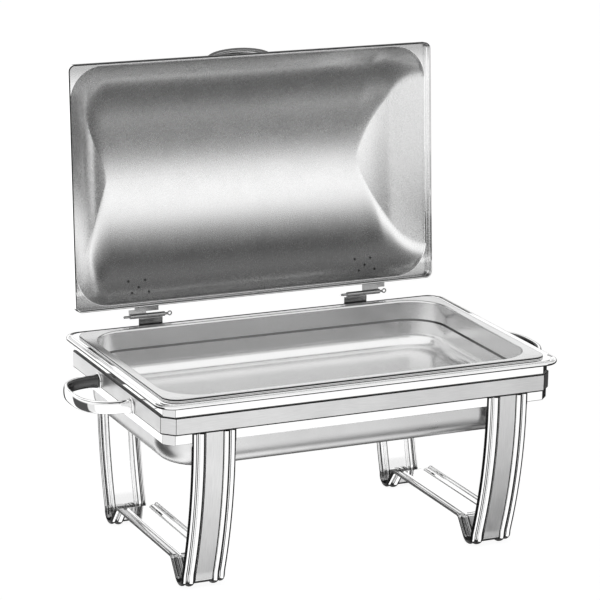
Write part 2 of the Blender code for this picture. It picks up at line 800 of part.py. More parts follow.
def make_lid_leaf(name, side, steel):
    """A leaf bent over the lid's flange and up its rear wall, with the outer knuckle."""
    centre = side * LID_LEAF_X + LID_LEAF_SHIFT
    split = hinge_shift(side)
    outer_end = split + side * KNUCKLE_LENGTH
    knuckle_low, knuckle_high = sorted((split + side * GAP, outer_end))
    arm_z = lid_flange_top() + GAP
    wall_steps = 8
    near, far = [], []
    for step in range(wall_steps + 1):
        height = LID_LEAF_BEND + (LID_LEAF_TOP - LID_LEAF_BEND) * step / wall_steps
        near.append(wall_point(height, GAP)[0])
        far.append(wall_point(height, GAP + LEAF_SHEET)[0])
    near = [(point.y, point.z) for point in near]
    far = [(point.y, point.z) for point in far]
    foot_y = dome_half_y(0) + 2 * GAP
    # Where the flat arm starts: short of the base knuckle, which it swings past.
    arm_end = HINGE_Y - KNUCKLE_RADIUS - 2 * MM
    plate_outline = [(foot_y, arm_z), (arm_end, arm_z), (arm_end, arm_z + LEAF_SHEET)]
    plate_outline += [(foot_y + LEAF_SHEET, arm_z + LEAF_SHEET)] + far + list(reversed(near))
    leaf = extrude_outline(
        name, plate_outline, centre - LEAF_WIDTH / 2, centre + LEAF_WIDTH / 2, steel
    )
    arm_outline = (
        (arm_end - 3 * MM, arm_z + 0.2 * MM),
        (HINGE_Y, HINGE_Z + BORE_RADIUS),
        (HINGE_Y, HINGE_Z + KNUCKLE_RADIUS),
        (arm_end - 3 * MM, arm_z + LEAF_SHEET - 0.2 * MM),
    )
    arm = extrude_outline("arm", arm_outline, knuckle_low, knuckle_high)
    axis = Vector((0, HINGE_Y, HINGE_Z))
    start = axis + Vector((knuckle_low, 0, 0))
    end = axis + Vector((knuckle_high, 0, 0))
    knuckle = rod("knuckle", KNUCKLE_RADIUS, start, end)
    combine(leaf, [arm, knuckle], "UNION")
    overrun = Vector((2 * MM, 0, 0))
    combine(leaf, [rod("bore", BORE_RADIUS, start - overrun, end + overrun)], "DIFFERENCE")
    smooth(leaf)
    return leaf


def make_hinge_pin(name, side, steel):
    """A loose pin with a rounded tip on the left and a ring to pull it out on the right."""
    split = hinge_shift(side)
    tip = split - KNUCKLE_LENGTH - PIN_TIP_BEYOND
    shank_end = split + KNUCKLE_LENGTH + PIN_EYE_BEYOND
    length = shank_end - tip
    stations = (
        (0, PIN_RADIUS * 0.5),
        (PIN_RADIUS * 0.6, PIN_RADIUS),
        (length, PIN_RADIUS),
    )
    start = Vector((tip, HINGE_Y, HINGE_Z))
    pin = turned(name, stations, start, (1, 0, 0), steel)
    centre = Vector((shank_end + PIN_EYE_RADIUS - 0.3 * MM, HINGE_Y, HINGE_Z))
    around, across = 18, 8
    loops = []
    for i in range(around):
        angle = math.tau * i / around
        spoke = Vector((math.cos(angle), 0, math.sin(angle)))
        loop = []
        for j in range(across):
            turn = math.tau * j / across
            offset = spoke * (PIN_EYE_RADIUS + PIN_EYE_WIRE * math.cos(turn))
            loop.append(centre + offset + Vector((0, PIN_EYE_WIRE * math.sin(turn), 0)))
        loops.append(loop)
    combine(pin, [loft("ring", loops, closed=True)], "UNION")
    smooth(pin)
    return pin


def make_base_rivets(name, pan, leaf, side, steel):
    """Two rivets hold each base leaf to the turned-down edge of the rim."""
    rivets = []
    outward = Vector((0, 1, 0))
    stack = SHEET + GAP + LEAF_SHEET
    for number, offset in enumerate((-BASE_RIVET_SPREAD_X, BASE_RIVET_SPREAD_X), start=1):
        inner_face = Vector((side * BASE_LEAF_X + offset, RIM_HALF_Y - SHEET, BASE_RIVET_Z))
        hole_end = inner_face + outward * (stack + 2 * GAP)
        pierce((pan, leaf), RIVET_RADIUS, inner_face - outward * GAP, hole_end)
        rivets.append(rivet(f"base_rivet_{name}_{number}", stack, inner_face, outward, steel))
    return rivets


def make_lid_rivets(name, shell, leaf, side, steel):
    """Five rivets, set like the five on a dice, hold each lid leaf to the dome's rear wall."""
    rivets = []
    centre = side * LID_LEAF_X + LID_LEAF_SHIFT
    places = ((-1, 0), (1, 0), (0, 1), (-1, 2), (1, 2))
    stack = LID_SHEET + GAP + LEAF_SHEET
    for number, (across, row) in enumerate(places, start=1):
        height = RIVET_ROW_LOW + row * RIVET_ROW_STEP
        surface, outward = wall_point(height, -LID_SHEET)
        inner_face = surface + Vector((centre + across * RIVET_SPREAD_X, 0, 0))
        # Each hole starts and ends clear of the curved sheets.
        clear = outward * 2 * GAP
        pierce(
            (shell, leaf), RIVET_RADIUS, inner_face - clear, inner_face + outward * stack + clear
        )
        rivets.append(rivet(f"lid_rivet_{name}_{number}", stack, inner_face, outward, steel))
    return rivets


# ---------------------------------------------------------------- assembly


def main():
    clear_scene()
    chrome = metal("polished_steel", 0.82, 0.08)
    satin = metal("satin_steel", 0.66, 0.34)
    fittings = metal("hinge_steel", 0.55, 0.25)

    stand_centre = empty("stand_centre", (0, STAND_CENTRE_Y, 0))
    water_lift = empty("water_pan_lift", (0, 0, 0), stand_centre)
    food_lift = empty("food_pan_lift", (0, 0, 0), water_lift)
    hinge_line = Vector((0, HINGE_Y, HINGE_Z))
    lid_hinge = empty("lid_hinge", hinge_line, water_lift)
    lid_hinge.rotation_euler = (-LID_OPEN_ANGLE, 0, 0)

    frame = make_frame(chrome)
    band = make_band(satin)
    legs = [make_leg(f"leg_{name}", side, chrome) for name, side in sides()]
    screws = fasten_legs(frame, legs, fittings)
    handle_pieces = make_side_handles(frame, band, chrome, fittings)
    for piece in [frame, band, *legs, *screws, *handle_pieces]:
        attach(piece, stand_centre)

    water_pan = make_water_pan(satin)
    food_pan = make_food_pan(satin)
    shell = make_lid_shell(satin)
    lid_pieces = [shell, *make_lid_handle(chrome)]
    pan_pieces = [water_pan]
    for name, side in sides():
        base_leaf = make_base_leaf(f"hinge_base_{name}", side, fittings)
        lid_leaf = make_lid_leaf(f"hinge_leaf_{name}", side, fittings)
        base_rivets = make_base_rivets(name, water_pan, base_leaf, side, fittings)
        lid_rivets = make_lid_rivets(name, shell, lid_leaf, side, fittings)
        pan_pieces += [base_leaf, *base_rivets]
        lid_pieces += [lid_leaf, *lid_rivets]
        pin_line = Vector((hinge_shift(side), HINGE_Y, HINGE_Z))
        pin_pull = empty(f"hinge_pin_{name}_pull", pin_line, water_lift)
        attach(make_hinge_pin(f"hinge_pin_{name}", side, fittings), pin_pull, pin_line)
    for piece in pan_pieces:
        attach(piece, water_lift)
    for piece in lid_pieces:
        attach(piece, lid_hinge, hinge_line)
    attach(food_pan, food_lift)
    bpy.context.view_layer.update()


main()
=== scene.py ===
"""The finished look of the chafing dish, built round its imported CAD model.

Every visible piece is a fine mesh that stands for one CAD node and rides on its body. Pieces
are drawn round the stand's own centre line with the lid shut, in metres, and are then moved
into the frame's place. Lengths are written in millimetres and multiplied by MM.
"""

import json
from math import atan2, copysign, cos, degrees, pi, radians, sin, sqrt, tan, tau

import bmesh
import bpy
from mathutils import Matrix, Vector


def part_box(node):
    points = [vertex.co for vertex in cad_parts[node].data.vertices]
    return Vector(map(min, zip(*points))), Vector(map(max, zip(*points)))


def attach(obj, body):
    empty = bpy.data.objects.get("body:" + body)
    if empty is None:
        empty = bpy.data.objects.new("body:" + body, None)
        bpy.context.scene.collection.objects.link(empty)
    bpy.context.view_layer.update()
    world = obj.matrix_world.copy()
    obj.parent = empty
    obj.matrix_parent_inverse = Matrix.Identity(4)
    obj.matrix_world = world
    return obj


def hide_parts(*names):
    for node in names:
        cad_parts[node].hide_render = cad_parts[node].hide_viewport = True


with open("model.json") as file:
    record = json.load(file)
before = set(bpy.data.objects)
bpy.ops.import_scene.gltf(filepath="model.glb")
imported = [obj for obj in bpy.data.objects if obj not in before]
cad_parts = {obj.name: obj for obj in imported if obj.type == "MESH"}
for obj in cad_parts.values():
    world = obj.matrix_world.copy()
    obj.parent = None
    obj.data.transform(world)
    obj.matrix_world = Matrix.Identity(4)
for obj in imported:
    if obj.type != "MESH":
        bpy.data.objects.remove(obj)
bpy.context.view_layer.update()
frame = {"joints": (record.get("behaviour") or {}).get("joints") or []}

MM = 0.001
GAP = 0.3 * MM

# ---- sizes from the frame


def half_size(node, axis):
    low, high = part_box(node)
    return (high[axis] - low[axis]) / 2


def middle(node, axis):
    low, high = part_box(node)
    return (high[axis] + low[axis]) / 2


def joint(name):
    return next(entry for entry in frame["joints"] if entry["name"] == name)


STAND_Y = middle("stand_frame", 1)
SKIRT_HALF_X = half_size("stand_frame", 0)
SKIRT_HALF_Y = half_size("stand_frame", 1)
SKIRT_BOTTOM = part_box("stand_frame")[0].z
SKIRT_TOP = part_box("stand_frame")[1].z
SKIRT_SHEET = 1.5 * MM
SKIRT_FLANGE = 8 * MM
SKIRT_CHAMFER = 12 * MM
SKIRT_ARRIS = 1 * MM

BAND_PROUD = half_size("trim_band", 0) - SKIRT_HALF_X
BAND_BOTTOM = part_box("trim_band")[0].z
BAND_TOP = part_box("trim_band")[1].z
BAND_ARRIS = 1.6 * MM

LEG_X = middle("leg_right", 0)
LEG_HALF_WIDTH = half_size("leg_right", 0)
LEG_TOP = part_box("leg_right")[1].z
LEG_FACE_Y = SKIRT_HALF_Y + GAP
LEG_SHEET = 1.5 * MM
LEG_EDGE = 4 * MM
LEG_BOW_START = 200 * MM
LEG_BOW = 36 * MM
LEG_BOW_POWER = 2
LEG_BEAD_X = 16.5 * MM
LEG_BEAD_HALF = 4.1 * MM
LEG_BEAD_RISE = 3 * MM
TOE_RADIUS = 14 * MM
SOLE_RISE = 0.05 * MM
SOLE_FLAT_ANGLE = radians(7)
TOE_EXIT_ANGLE = radians(52)
CROSSBAR_BEND = 8 * MM
CROSSBAR_TOP = 32 * MM
LEG_SCREW_SPACING = 14 * MM
LEG_SCREW_Z = 209 * MM

HANDLE_Z = middle("handle_right", 2)
HANDLE_HALF_SPAN = 58 * MM
HANDLE_REACH = 59.85 * MM
HANDLE_ROUNDNESS = 0.75
STRAP_HALF_HEIGHT = 8.2 * MM
STRAP_HALF_THICKNESS = 3.6 * MM
STRAP_SQUARENESS = 0.6
STRAP_ROOT_SHARE = 0.22
STRAP_FLARE = 0.18
STRAP_EDGE_SHARE = 0.12
STRAP_SIDE_POINTS = 15
COLLAR_THICKNESS = 2 * MM
COLLAR_RADIUS = 10.6 * MM

RIM_HALF_X = half_size("water_pan", 0)
RIM_HALF_Y = half_size("water_pan", 1)
RIM_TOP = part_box("water_pan")[1].z
RIM_LIP = 5.5 * MM
RIM_CORNER = 24 * MM
WATER_HALF_X = 257.5 * MM
WATER_HALF_Y = 154.5 * MM
WATER_CORNER = 55 * MM
WATER_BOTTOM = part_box("water_pan")[0].z
WATER_BEND = 26 * MM
WATER_BEND_STEPS = 14
SHEET = 1.2 * MM

FLANGE_HALF_X = half_size("food_pan", 0)
FLANGE_HALF_Y = half_size("food_pan", 1)
FLANGE_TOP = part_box("food_pan")[1].z
FLANGE_CORNER = 20 * MM
FOOD_HALF_X = 253 * MM
FOOD_HALF_Y = 150.5 * MM
FOOD_CORNER = 50 * MM
FOOD_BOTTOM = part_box("food_pan")[0].z
FOOD_BEND = 18 * MM
FOOD_BEND_STEPS = 12
FOOD_SHOULDER = 233 * MM
FOOD_STEP = 1.8 * MM
FOOD_STEP_HEIGHT = 2.6 * MM
FOOD_STEP_ROWS = 10

HINGE = Vector(joint("lid_hinge")["pos_m"])
HINGE_Y = HINGE.y - STAND_Y
HINGE_Z = HINGE.z
LID_OPEN_ANGLE = radians(-joint("lid_hinge")["range_deg"][0])
LID_X = middle("lid_shell", 0)
LID_HALF_X = half_size("lid_shell", 0)
LID_HALF_Y = 164 * MM
LID_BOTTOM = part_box("lid_shell")[0].z
LID_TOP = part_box("lid_shell")[1].z
LID_CORNER = 9 * MM
LID_LIP_BOTTOM = FLANGE_TOP + 0.4 * MM
LID_LIP = 11 * MM
LID_FLANGE_TOP = LID_LIP_BOTTOM + LID_LIP
LID_FLANGE = 4.5 * MM
LID_SHEET = 1 * MM
DOME_HEIGHT = 68.8 * MM
DOME_END_SLOPE = 0.72
DOME_END_BLEND = 28 * MM
DOME_END_INSET = 24 * MM
DOME_RIDGE_ANGLE = radians(89.3)
LID_CORNER_SHARE = 0.29
LID_MOUTH_RADIUS = 1.4 * MM
LID_HANDLE_HEIGHT = 26 * MM
LID_HANDLE_X = -3 * MM
LID_HANDLE_HALF_SPAN = 46 * MM
LID_HANDLE_REACH = 18.5 * MM
LID_STRAP_HALF_HEIGHT = 0.8 * STRAP_HALF_HEIGHT
LID_COLLAR_RADIUS = 8.4 * MM

KNUCKLE_RADIUS = 3.2 * MM
BORE_RADIUS = 2 * MM
PIN_RADIUS = 1.7 * MM
LEAF_SHEET = 1.5 * MM
LEAF_WIDTH = 34 * MM
KNUCKLE_LENGTH = 25 * MM
HINGE_SPLIT_X = 160 * MM
BASE_LEAF_X = 151.7 * MM
BASE_LEAF_TOP = 264.2 * MM
LID_LEAF_X = 168.4 * MM
LID_LEAF_SHIFT = 12 * MM
LID_LEAF_BEND = 6 * MM
LID_LEAF_TOP = 44 * MM
RIVET_SPREAD_X = 12 * MM
RIVET_ROW_LOW = 22 * MM
RIVET_ROW_STEP = 6.5 * MM
BASE_RIVET_SPREAD_X = 10 * MM
PIN_TIP_BEYOND = 9 * MM
PIN_EYE_BEYOND = 5 * MM
PIN_EYE_RADIUS = 2.6 * MM
PIN_EYE_WIRE = 0.9 * MM

CORNER_STEPS = 18
FILLET_STEPS = 5

SIDES = (("left", -1), ("right", 1))

STAND_PLACE = Matrix.Translation((0, STAND_Y, 0))
LID_PLACE = (
    Matrix.Translation(HINGE)
    @ Matrix.Rotation(-LID_OPEN_ANGLE, 4, "X")
    @ Matrix.Translation(-HINGE)
    @ STAND_PLACE
)

# ---- materials


class Nodes:
    """Short names for building a node tree."""

    def __init__(self, tree):
        self.tree = tree

    def add(self, kind, **settings):
        node = self.tree.nodes.new(kind)
        for name, value in settings.items():
            setattr(node, name, value)
        return node

    def link(self, source, target):
        self.tree.links.new(source, target)

    def noise(self, vector, scale, detail, roughness=0.5):
        node = self.add("ShaderNodeTexNoise")
        node.inputs["Scale"].default_value = scale
        node.inputs["Detail"].default_value = detail
        node.inputs["Roughness"].default_value = roughness
        self.link(vector, node.inputs["Vector"])
        return node.outputs["Fac"]

    def stretched(self, vector, scale):
        node = self.add("ShaderNodeMapping")
        node.inputs["Scale"].default_value = scale
        self.link(vector, node.inputs["Vector"])
        return node.outputs["Vector"]

    def remap(self, value, low, high, from_low=0.3, from_high=0.7):
        node = self.add("ShaderNodeMapRange")
        node.inputs["From Min"].default_value = from_low
        node.inputs["From Max"].default_value = from_high
        node.inputs["To Min"].default_value = low
        node.inputs["To Max"].default_value = high
        self.link(value, node.inputs["Value"])
        return node.outputs["Result"]

    def math(self, operation, first, second):
        node = self.add("ShaderNodeMath", operation=operation)
        for socket, value in zip(node.inputs, (first, second)):
            if isinstance(value, (int, float)):
                socket.default_value = value
            else:
                self.link(value, socket)
        return node.outputs["Value"]


def steel(name, tone, roughness, grain, grain_shade, bump, patches=0.03, fades=()):
    """Stainless steel. grain is the number of grains in a metre along each axis.

    Each of fades is (height, height, share), a painted shade: the tone falls to a share of
    itself from the second height to the first.
    """
    made = bpy.data.materials.new(name)
    made.use_nodes = True
    made.diffuse_color = (tone, tone, tone, 1)
    nodes = Nodes(made.node_tree)
    shader = made.node_tree.nodes["Principled BSDF"]
    shader.inputs["Metallic"].default_value = 1
    place = nodes.add("ShaderNodeTexCoord").outputs["Object"]

    fine = nodes.noise(nodes.stretched(place, grain), 1, 1)
    broad = nodes.noise(place, 9, 3)
    shade = nodes.math(
        "MULTIPLY",
        nodes.remap(fine, 1 - grain_shade, 1 + grain_shade),
        nodes.remap(broad, tone - patches, tone + patches),
    )
    if fades:
        parts = nodes.add("ShaderNodeSeparateXYZ")
        nodes.link(place, parts.inputs["Vector"])
        for faded, full, share in fades:
            fade = nodes.remap(parts.outputs["Z"], share, 1, faded, full)
            shade = nodes.math("MULTIPLY", shade, fade)
    colour = nodes.add("ShaderNodeCombineColor")
    for socket in colour.inputs:
        nodes.link(shade, socket)
    nodes.link(colour.outputs["Color"], shader.inputs["Base Color"])

    low, high = roughness
    smear = nodes.math(
        "ADD",
        nodes.remap(nodes.noise(place, 34, 4, 0.6), low, high),
        nodes.remap(fine, -0.02, 0.02),
    )
    nodes.link(smear, shader.inputs["Roughness"])

    relief = nodes.add("ShaderNodeBump")
    relief.inputs["Strength"].default_value = bump
    relief.inputs["Distance"].default_value = 0.1 * MM
    nodes.link(fine, relief.inputs["Height"])
    nodes.link(relief.outputs["Normal"], shader.inputs["Normal"])
    return made


# Painted shade: the open lid is darker towards its two long edges.
LID_PAINTED_SHADE = (
    (LID_BOTTOM + 2 * MM, LID_BOTTOM + 26 * MM, 0.4),
    (LID_TOP - 9 * MM, LID_TOP - 32 * MM, 0.55),
)

EVEN_GRAIN = (600, 600, 600)
FINE_GRAIN = (1500, 2200, 2200)
LID_GRAIN = (900, 1200, 1200)
BRUSHED_LEVEL = (60, 60, 1600)
BRUSHED_UPRIGHT = (1600, 60, 60)

CHROME = steel("polished_steel", 0.95, (0.03, 0.07), (500, 500, 500), 0.01, 0.02)
SATIN = steel("satin_steel", 0.74, (0.28, 0.34), FINE_GRAIN, 0.04, 0.06)
LID_SATIN = steel(
    "lid_satin_steel", 0.94, (0.25, 0.28), LID_GRAIN, 0.07, 0.10, 0.01, fades=LID_PAINTED_SHADE
)
# Painted shade: a greyer copy of the pan satin, for the food pan's walls and flange.
SHADED_WALL_SATIN = steel("shaded_wall_satin_steel", 0.73, (0.20, 0.24), FINE_GRAIN, 0.03, 0.04, 0.015)
PAN_SATIN = steel("pan_satin_steel", 0.84, (0.20, 0.24), FINE_GRAIN, 0.03, 0.04, 0.015)
BAND_SATIN = steel("band_satin_steel", 0.80, (0.30, 0.38), BRUSHED_LEVEL, 0.05, 0.25)
STRIP_SATIN = steel("strip_satin_steel", 0.84, (0.30, 0.38), BRUSHED_UPRIGHT, 0.05, 0.25)
# The fittings' steel, also used as a painted grey shade inside the legs' toes.
FITTINGS_AND_TOE_SHADE = steel("hinge_steel", 0.40, (0.16, 0.26), EVEN_GRAIN, 0.05, 0.15)
RIVET_STEEL = steel("rivet_steel", 0.10, (0.30, 0.42), EVEN_GRAIN, 0.05, 0.15, 0.02)
# Two dark steels are painted shade: the shaded insides, and the thin dark lines along seams,
# arrises, rolled edges and soles.
SHADED = steel("shaded_steel", 0.12, (0.16, 0.26), EVEN_GRAIN, 0.05, 0.10, 0.02)
PAINTED_SHADE_LINE = steel("painted_shade_line_steel", 0.03, (0.30, 0.40), EVEN_GRAIN, 0.05, 0.10, 0.01)

# ---- mesh building blocks


def new_object(name, bm, *materials):
    bmesh.ops.recalc_face_normals(bm, faces=bm.faces)
    mesh = bpy.data.meshes.new(name)
    bm.to_mesh(mesh)
    bm.free()
    made = bpy.data.objects.new(name, mesh)
    for material in materials:
        mesh.materials.append(material)
    bpy.context.scene.collection.objects.link(made)
    return made


def smooth(thing, angle=32, weighted=True):
    """Smooth shading that keeps flat faces flat beside their rounded edges."""
    thing.data.shade_smooth()
    thing.data.set_sharp_from_angle(angle=radians(angle))
    if weighted:
        modifier = thing.modifiers.new("normals", "WEIGHTED_NORMAL")
        modifier.keep_sharp = True


def filleted(corners):
    """Round a closed outline. Each corner is (x, y, radius)."""
    outline = []
    for i, (x, y, radius) in enumerate(corners):
        corner = Vector((x, y))
        if not radius:
            outline.append(corner)
            continue
        before = (Vector(corners[i - 1][:2]) - corner).normalized()
        after = (Vector(corners[(i + 1) % len(corners)][:2]) - corner).normalized()
        half_angle = before.angle(after) / 2
        centre = corner + (before + after).normalized() * radius / sin(half_angle)
        start = corner + before * radius / tan(half_angle) - centre
        turn = start.angle_signed(corner + after * radius / tan(half_angle) - centre)
        for step in range(FILLET_STEPS + 1):
            angle = -turn * step / FILLET_STEPS
            cosine, sine = cos(angle), sin(angle)
            spoke = Vector((start.x * cosine - start.y * sine, start.x * sine + start.y * cosine))
            outline.append(centre + spoke)
    return outline


def rounded_rectangle(half_x, half_y, radius, z, centre_x=0):
    """One loop of points, anticlockwise from above."""
    loop = []
    corners = ((1, 1), (-1, 1), (-1, -1), (1, -1))
    for quarter, (side_x, side_y) in enumerate(corners):
        middle_x = centre_x + side_x * (half_x - radius)
        middle_y = side_y * (half_y - radius)
        for step in range(CORNER_STEPS + 1):
            angle = radians(90) * (quarter + step / CORNER_STEPS)
            x = middle_x + radius * cos(angle)
            y = middle_y + radius * sin(angle)
            loop.append(Vector((x, y, z)))
    return loop


def rings_on(loops, half_x, half_y, corner):
    """A function that adds a rounded loop to loops, at an outset and a height."""

    def ring(outset, z):
        loops.append(rounded_rectangle(half_x + outset, half_y + outset, corner + outset, z))

    return ring


def chamfered_rectangle(half_x, half_y, chamfer, z, fillet):
    """A loop with its corners cut off, and the cuts' edges rounded."""
    corners = [(half_x, half_y - chamfer), (half_x - chamfer, half_y)]
    corners += [(-x, y) for x, y in reversed(corners)]
    corners += [(-x, -y) for x, y in corners]
    outline = filleted([(x, y, fillet) for x, y in corners])
    return [Vector((point.x, point.y, z)) for point in outline]


def loft(name, loops, *materials, closed=False, choose=None):
    """Skin a row of equal loops. An open row gets a flat face on each end.

    choose(row, column) says which of the materials a face has.
    """
    bm = bmesh.new()
    rows = [[bm.verts.new(point) for point in loop] for loop in loops]
    pairs = list(zip(rows, rows[1:]))
    if closed:
        pairs.append((rows[-1], rows[0]))
    count = len(rows[0])
    for number, (row, following) in enumerate(pairs):
        for i in range(count):
            j = (i + 1) % count
            face = bm.faces.new((row[i], row[j], following[j], following[i]))
            if choose:
                face.material_index = materials.index(choose(number, i))
    if not closed:
        bm.faces.new(rows[0])
        bm.faces.new(rows[-1])
    return new_object(name, bm, *materials)


def extrude_outline(name, outline, x_low, x_high):
    """Extrude a fitting's outline of (y, z) points along X."""
    loops = [[Vector((x, y, z)) for y, z in outline] for x in (x_low, x_high)]
    return loft(name, loops, FITTINGS_AND_TOE_SHADE)


def turned(name, stations, start, direction, material, segments=48):
    """A body turned about the line from start along direction: (distance, radius) pairs."""
    start, direction = Vector(start), Vector(direction).normalized()
    turn = direction.to_track_quat("Z", "Y")
    loops = []
    for distance, radius in stations:
        loop = []
        for i in range(segments):
            angle = tau * i / segments
            spoke = Vector((cos(angle), sin(angle), 0)) * radius
            loop.append(start + direction * distance + turn @ spoke)
        loops.append(loop)
    made = loft(name, loops, material)
    smooth(made)
    return made


def rod(name, radius, start, end):
    stations = ((0, radius), ((end - start).length, radius))
    return turned(name, stations, start, end - start, FITTINGS_AND_TOE_SHADE)


def combine(target, tools, operation):
    """Apply a Boolean with each tool in turn, and remove the tools."""
    for tool in tools:
        tool.modifiers.clear()
        modifier = target.modifiers.new("combine", "BOOLEAN")
        modifier.operation = operation
        modifier.solver = "EXACT"
        modifier.object = tool
        graph = bpy.context.evaluated_depsgraph_get()
        result = bpy.data.meshes.new_from_object(target.evaluated_get(graph))
        target.modifiers.clear()
        target.data = result
        bpy.data.objects.remove(tool, do_unlink=True)


def soften(thing, width, angle=40):
    """Round the sharp edges of a joined-up fitting."""
    bevel = thing.modifiers.new("edges", "BEVEL")
    bevel.width = width
    bevel.segments = 3
    bevel.limit_method = "ANGLE"
    bevel.angle_limit = radians(angle)
    bevel.harden_normals = True
    smooth(thing, angle, weighted=False)


def finish_piece(piece, node, body):
    """Move a piece into its body's place, and let it stand for its CAD node."""
    piece.data.transform(LID_PLACE if body == "lid" else STAND_PLACE)
    piece.name = f"{node}_look"
    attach(piece, body)
    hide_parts(node)


# ---- stand


def on_arris(column):
    """Whether a column of a chamfered rectangle lies in the middle of a rounded arris."""
    return column % (FILLET_STEPS + 1) in (1, 2, 3)


def skirt_loops(outline, arris):
    """Loops round the skirt, one for each (outset, z) of a section."""
    return [
        chamfered_rectangle(
            SKIRT_HALF_X + outset, SKIRT_HALF_Y + outset, SKIRT_CHAMFER + outset, z, arris
        )
        for outset, z in outline
    ]


def make_frame():
    outline = filleted(
        (
            (0, SKIRT_BOTTOM, 1.2 * MM),
            (0, SKIRT_TOP, 0.5 * MM),
            (-SKIRT_SHEET, SKIRT_TOP, 0.5 * MM),
            (-SKIRT_SHEET, SKIRT_BOTTOM + SKIRT_SHEET, 0.4 * MM),
            (-SKIRT_FLANGE, SKIRT_BOTTOM + SKIRT_SHEET, 0.5 * MM),
            (-SKIRT_FLANGE, SKIRT_BOTTOM, 0.5 * MM),
        )
    )

    def choose(row, column):
        """The corners' arrises are dark: painted shade lines."""
        return PAINTED_SHADE_LINE if on_arris(column) else CHROME

    loops = skirt_loops(outline, SKIRT_ARRIS)
    made = loft("frame", loops, CHROME, PAINTED_SHADE_LINE, closed=True, choose=choose)
    smooth(made)
    finish_piece(made, "stand_frame", "stand")


def make_band():
    outline = filleted(
        (
            (BAND_PROUD, BAND_BOTTOM, 2.1 * MM),
            (BAND_PROUD, BAND_TOP, 1.4 * MM),
            (GAP, BAND_TOP, 0),
            (GAP, BAND_BOTTOM, 0),
        )
    )
    # The row between the two rolled edges.
    face_row = FILLET_STEPS

    def choose(row, column):
        """The band's rolled edges and its corners' arrises are dark: painted shade lines."""
        return BAND_SATIN if row == face_row and not on_arris(column) else PAINTED_SHADE_LINE

    loops = skirt_loops(outline, BAND_ARRIS)
    made = loft("band", loops, BAND_SATIN, PAINTED_SHADE_LINE, closed=True, choose=choose)
    smooth(made)
    finish_piece(made, "trim_band", "stand")


def leg_centre_line():
    """The front half of the strip's line, as (y, z, heading) from the top to mid-crossbar.

    The heading is measured from +Y, and the strip's outer face is on its right.
    """
    down = radians(-90)
    line = [(-LEG_FACE_Y, LEG_TOP, down), (-LEG_FACE_Y, LEG_BOW_START + 1 * MM, down)]
    toe_z = (TOE_RADIUS + LEG_SHEET + LEG_BEAD_RISE) * cos(SOLE_FLAT_ANGLE) + SOLE_RISE
    bow_steps = 44
    for step in range(bow_steps + 1):
        drop = (LEG_BOW_START - toe_z) * step / bow_steps
        share = drop / LEG_BOW_START
        y = -LEG_FACE_Y + LEG_BOW * share**LEG_BOW_POWER
        slope = LEG_BOW * LEG_BOW_POWER * share ** (LEG_BOW_POWER - 1) / LEG_BOW_START
        line.append((y, LEG_BOW_START - drop, atan2(-1, slope)))
    entry_y, entry_heading = line[-1][0], line[-1][2]
    toe_y = entry_y - TOE_RADIUS * sin(entry_heading)
    toe_steps = 22
    # The sole is flattened a little, so that the toe stands on the level of the floor.
    for step in range(1, toe_steps + 1):
        heading = entry_heading + (TOE_EXIT_ANGLE - entry_heading) * step / toe_steps
        y = toe_y + TOE_RADIUS * sin(heading)
        z = toe_z - TOE_RADIUS * max(-1, min(cos(heading), cos(SOLE_FLAT_ANGLE)))
        line.append((y, z, heading))
    bend_z = CROSSBAR_TOP - CROSSBAR_BEND
    rise_y, rise_z = line[-1][0], line[-1][1]
    bend_start_z = bend_z + CROSSBAR_BEND * cos(TOE_EXIT_ANGLE)
    bend_start_y = rise_y + (bend_start_z - rise_z) / tan(TOE_EXIT_ANGLE)
    bend_y = bend_start_y + CROSSBAR_BEND * sin(TOE_EXIT_ANGLE)
    bend_steps = 10
    for step in range(bend_steps + 1):
        heading = TOE_EXIT_ANGLE * (1 - step / bend_steps)
        y = bend_y - CROSSBAR_BEND * sin(heading)
        z = bend_z + CROSSBAR_BEND * cos(heading)
        line.append((y, z, heading))
    return line


# The roll along the strip's edge, as (inset from the edge, outwards) in millimetres.
ROLL_OUTSIDE = ((6.9, 0), (6.2, 0.3), (5.4, 0.9), (4.4, 1.25))
ROLL_OUTSIDE += ((3.4, 1.3), (2.4, 1.1), (1.5, 0.6), (0.95, -0.3))
ROLL_INSIDE = ((2.2, -0.7), (3.4, -0.4), (4.6, -0.7))
LEG_BEAD_STEPS = 12
LEG_BEAD_FULLNESS = 0.8


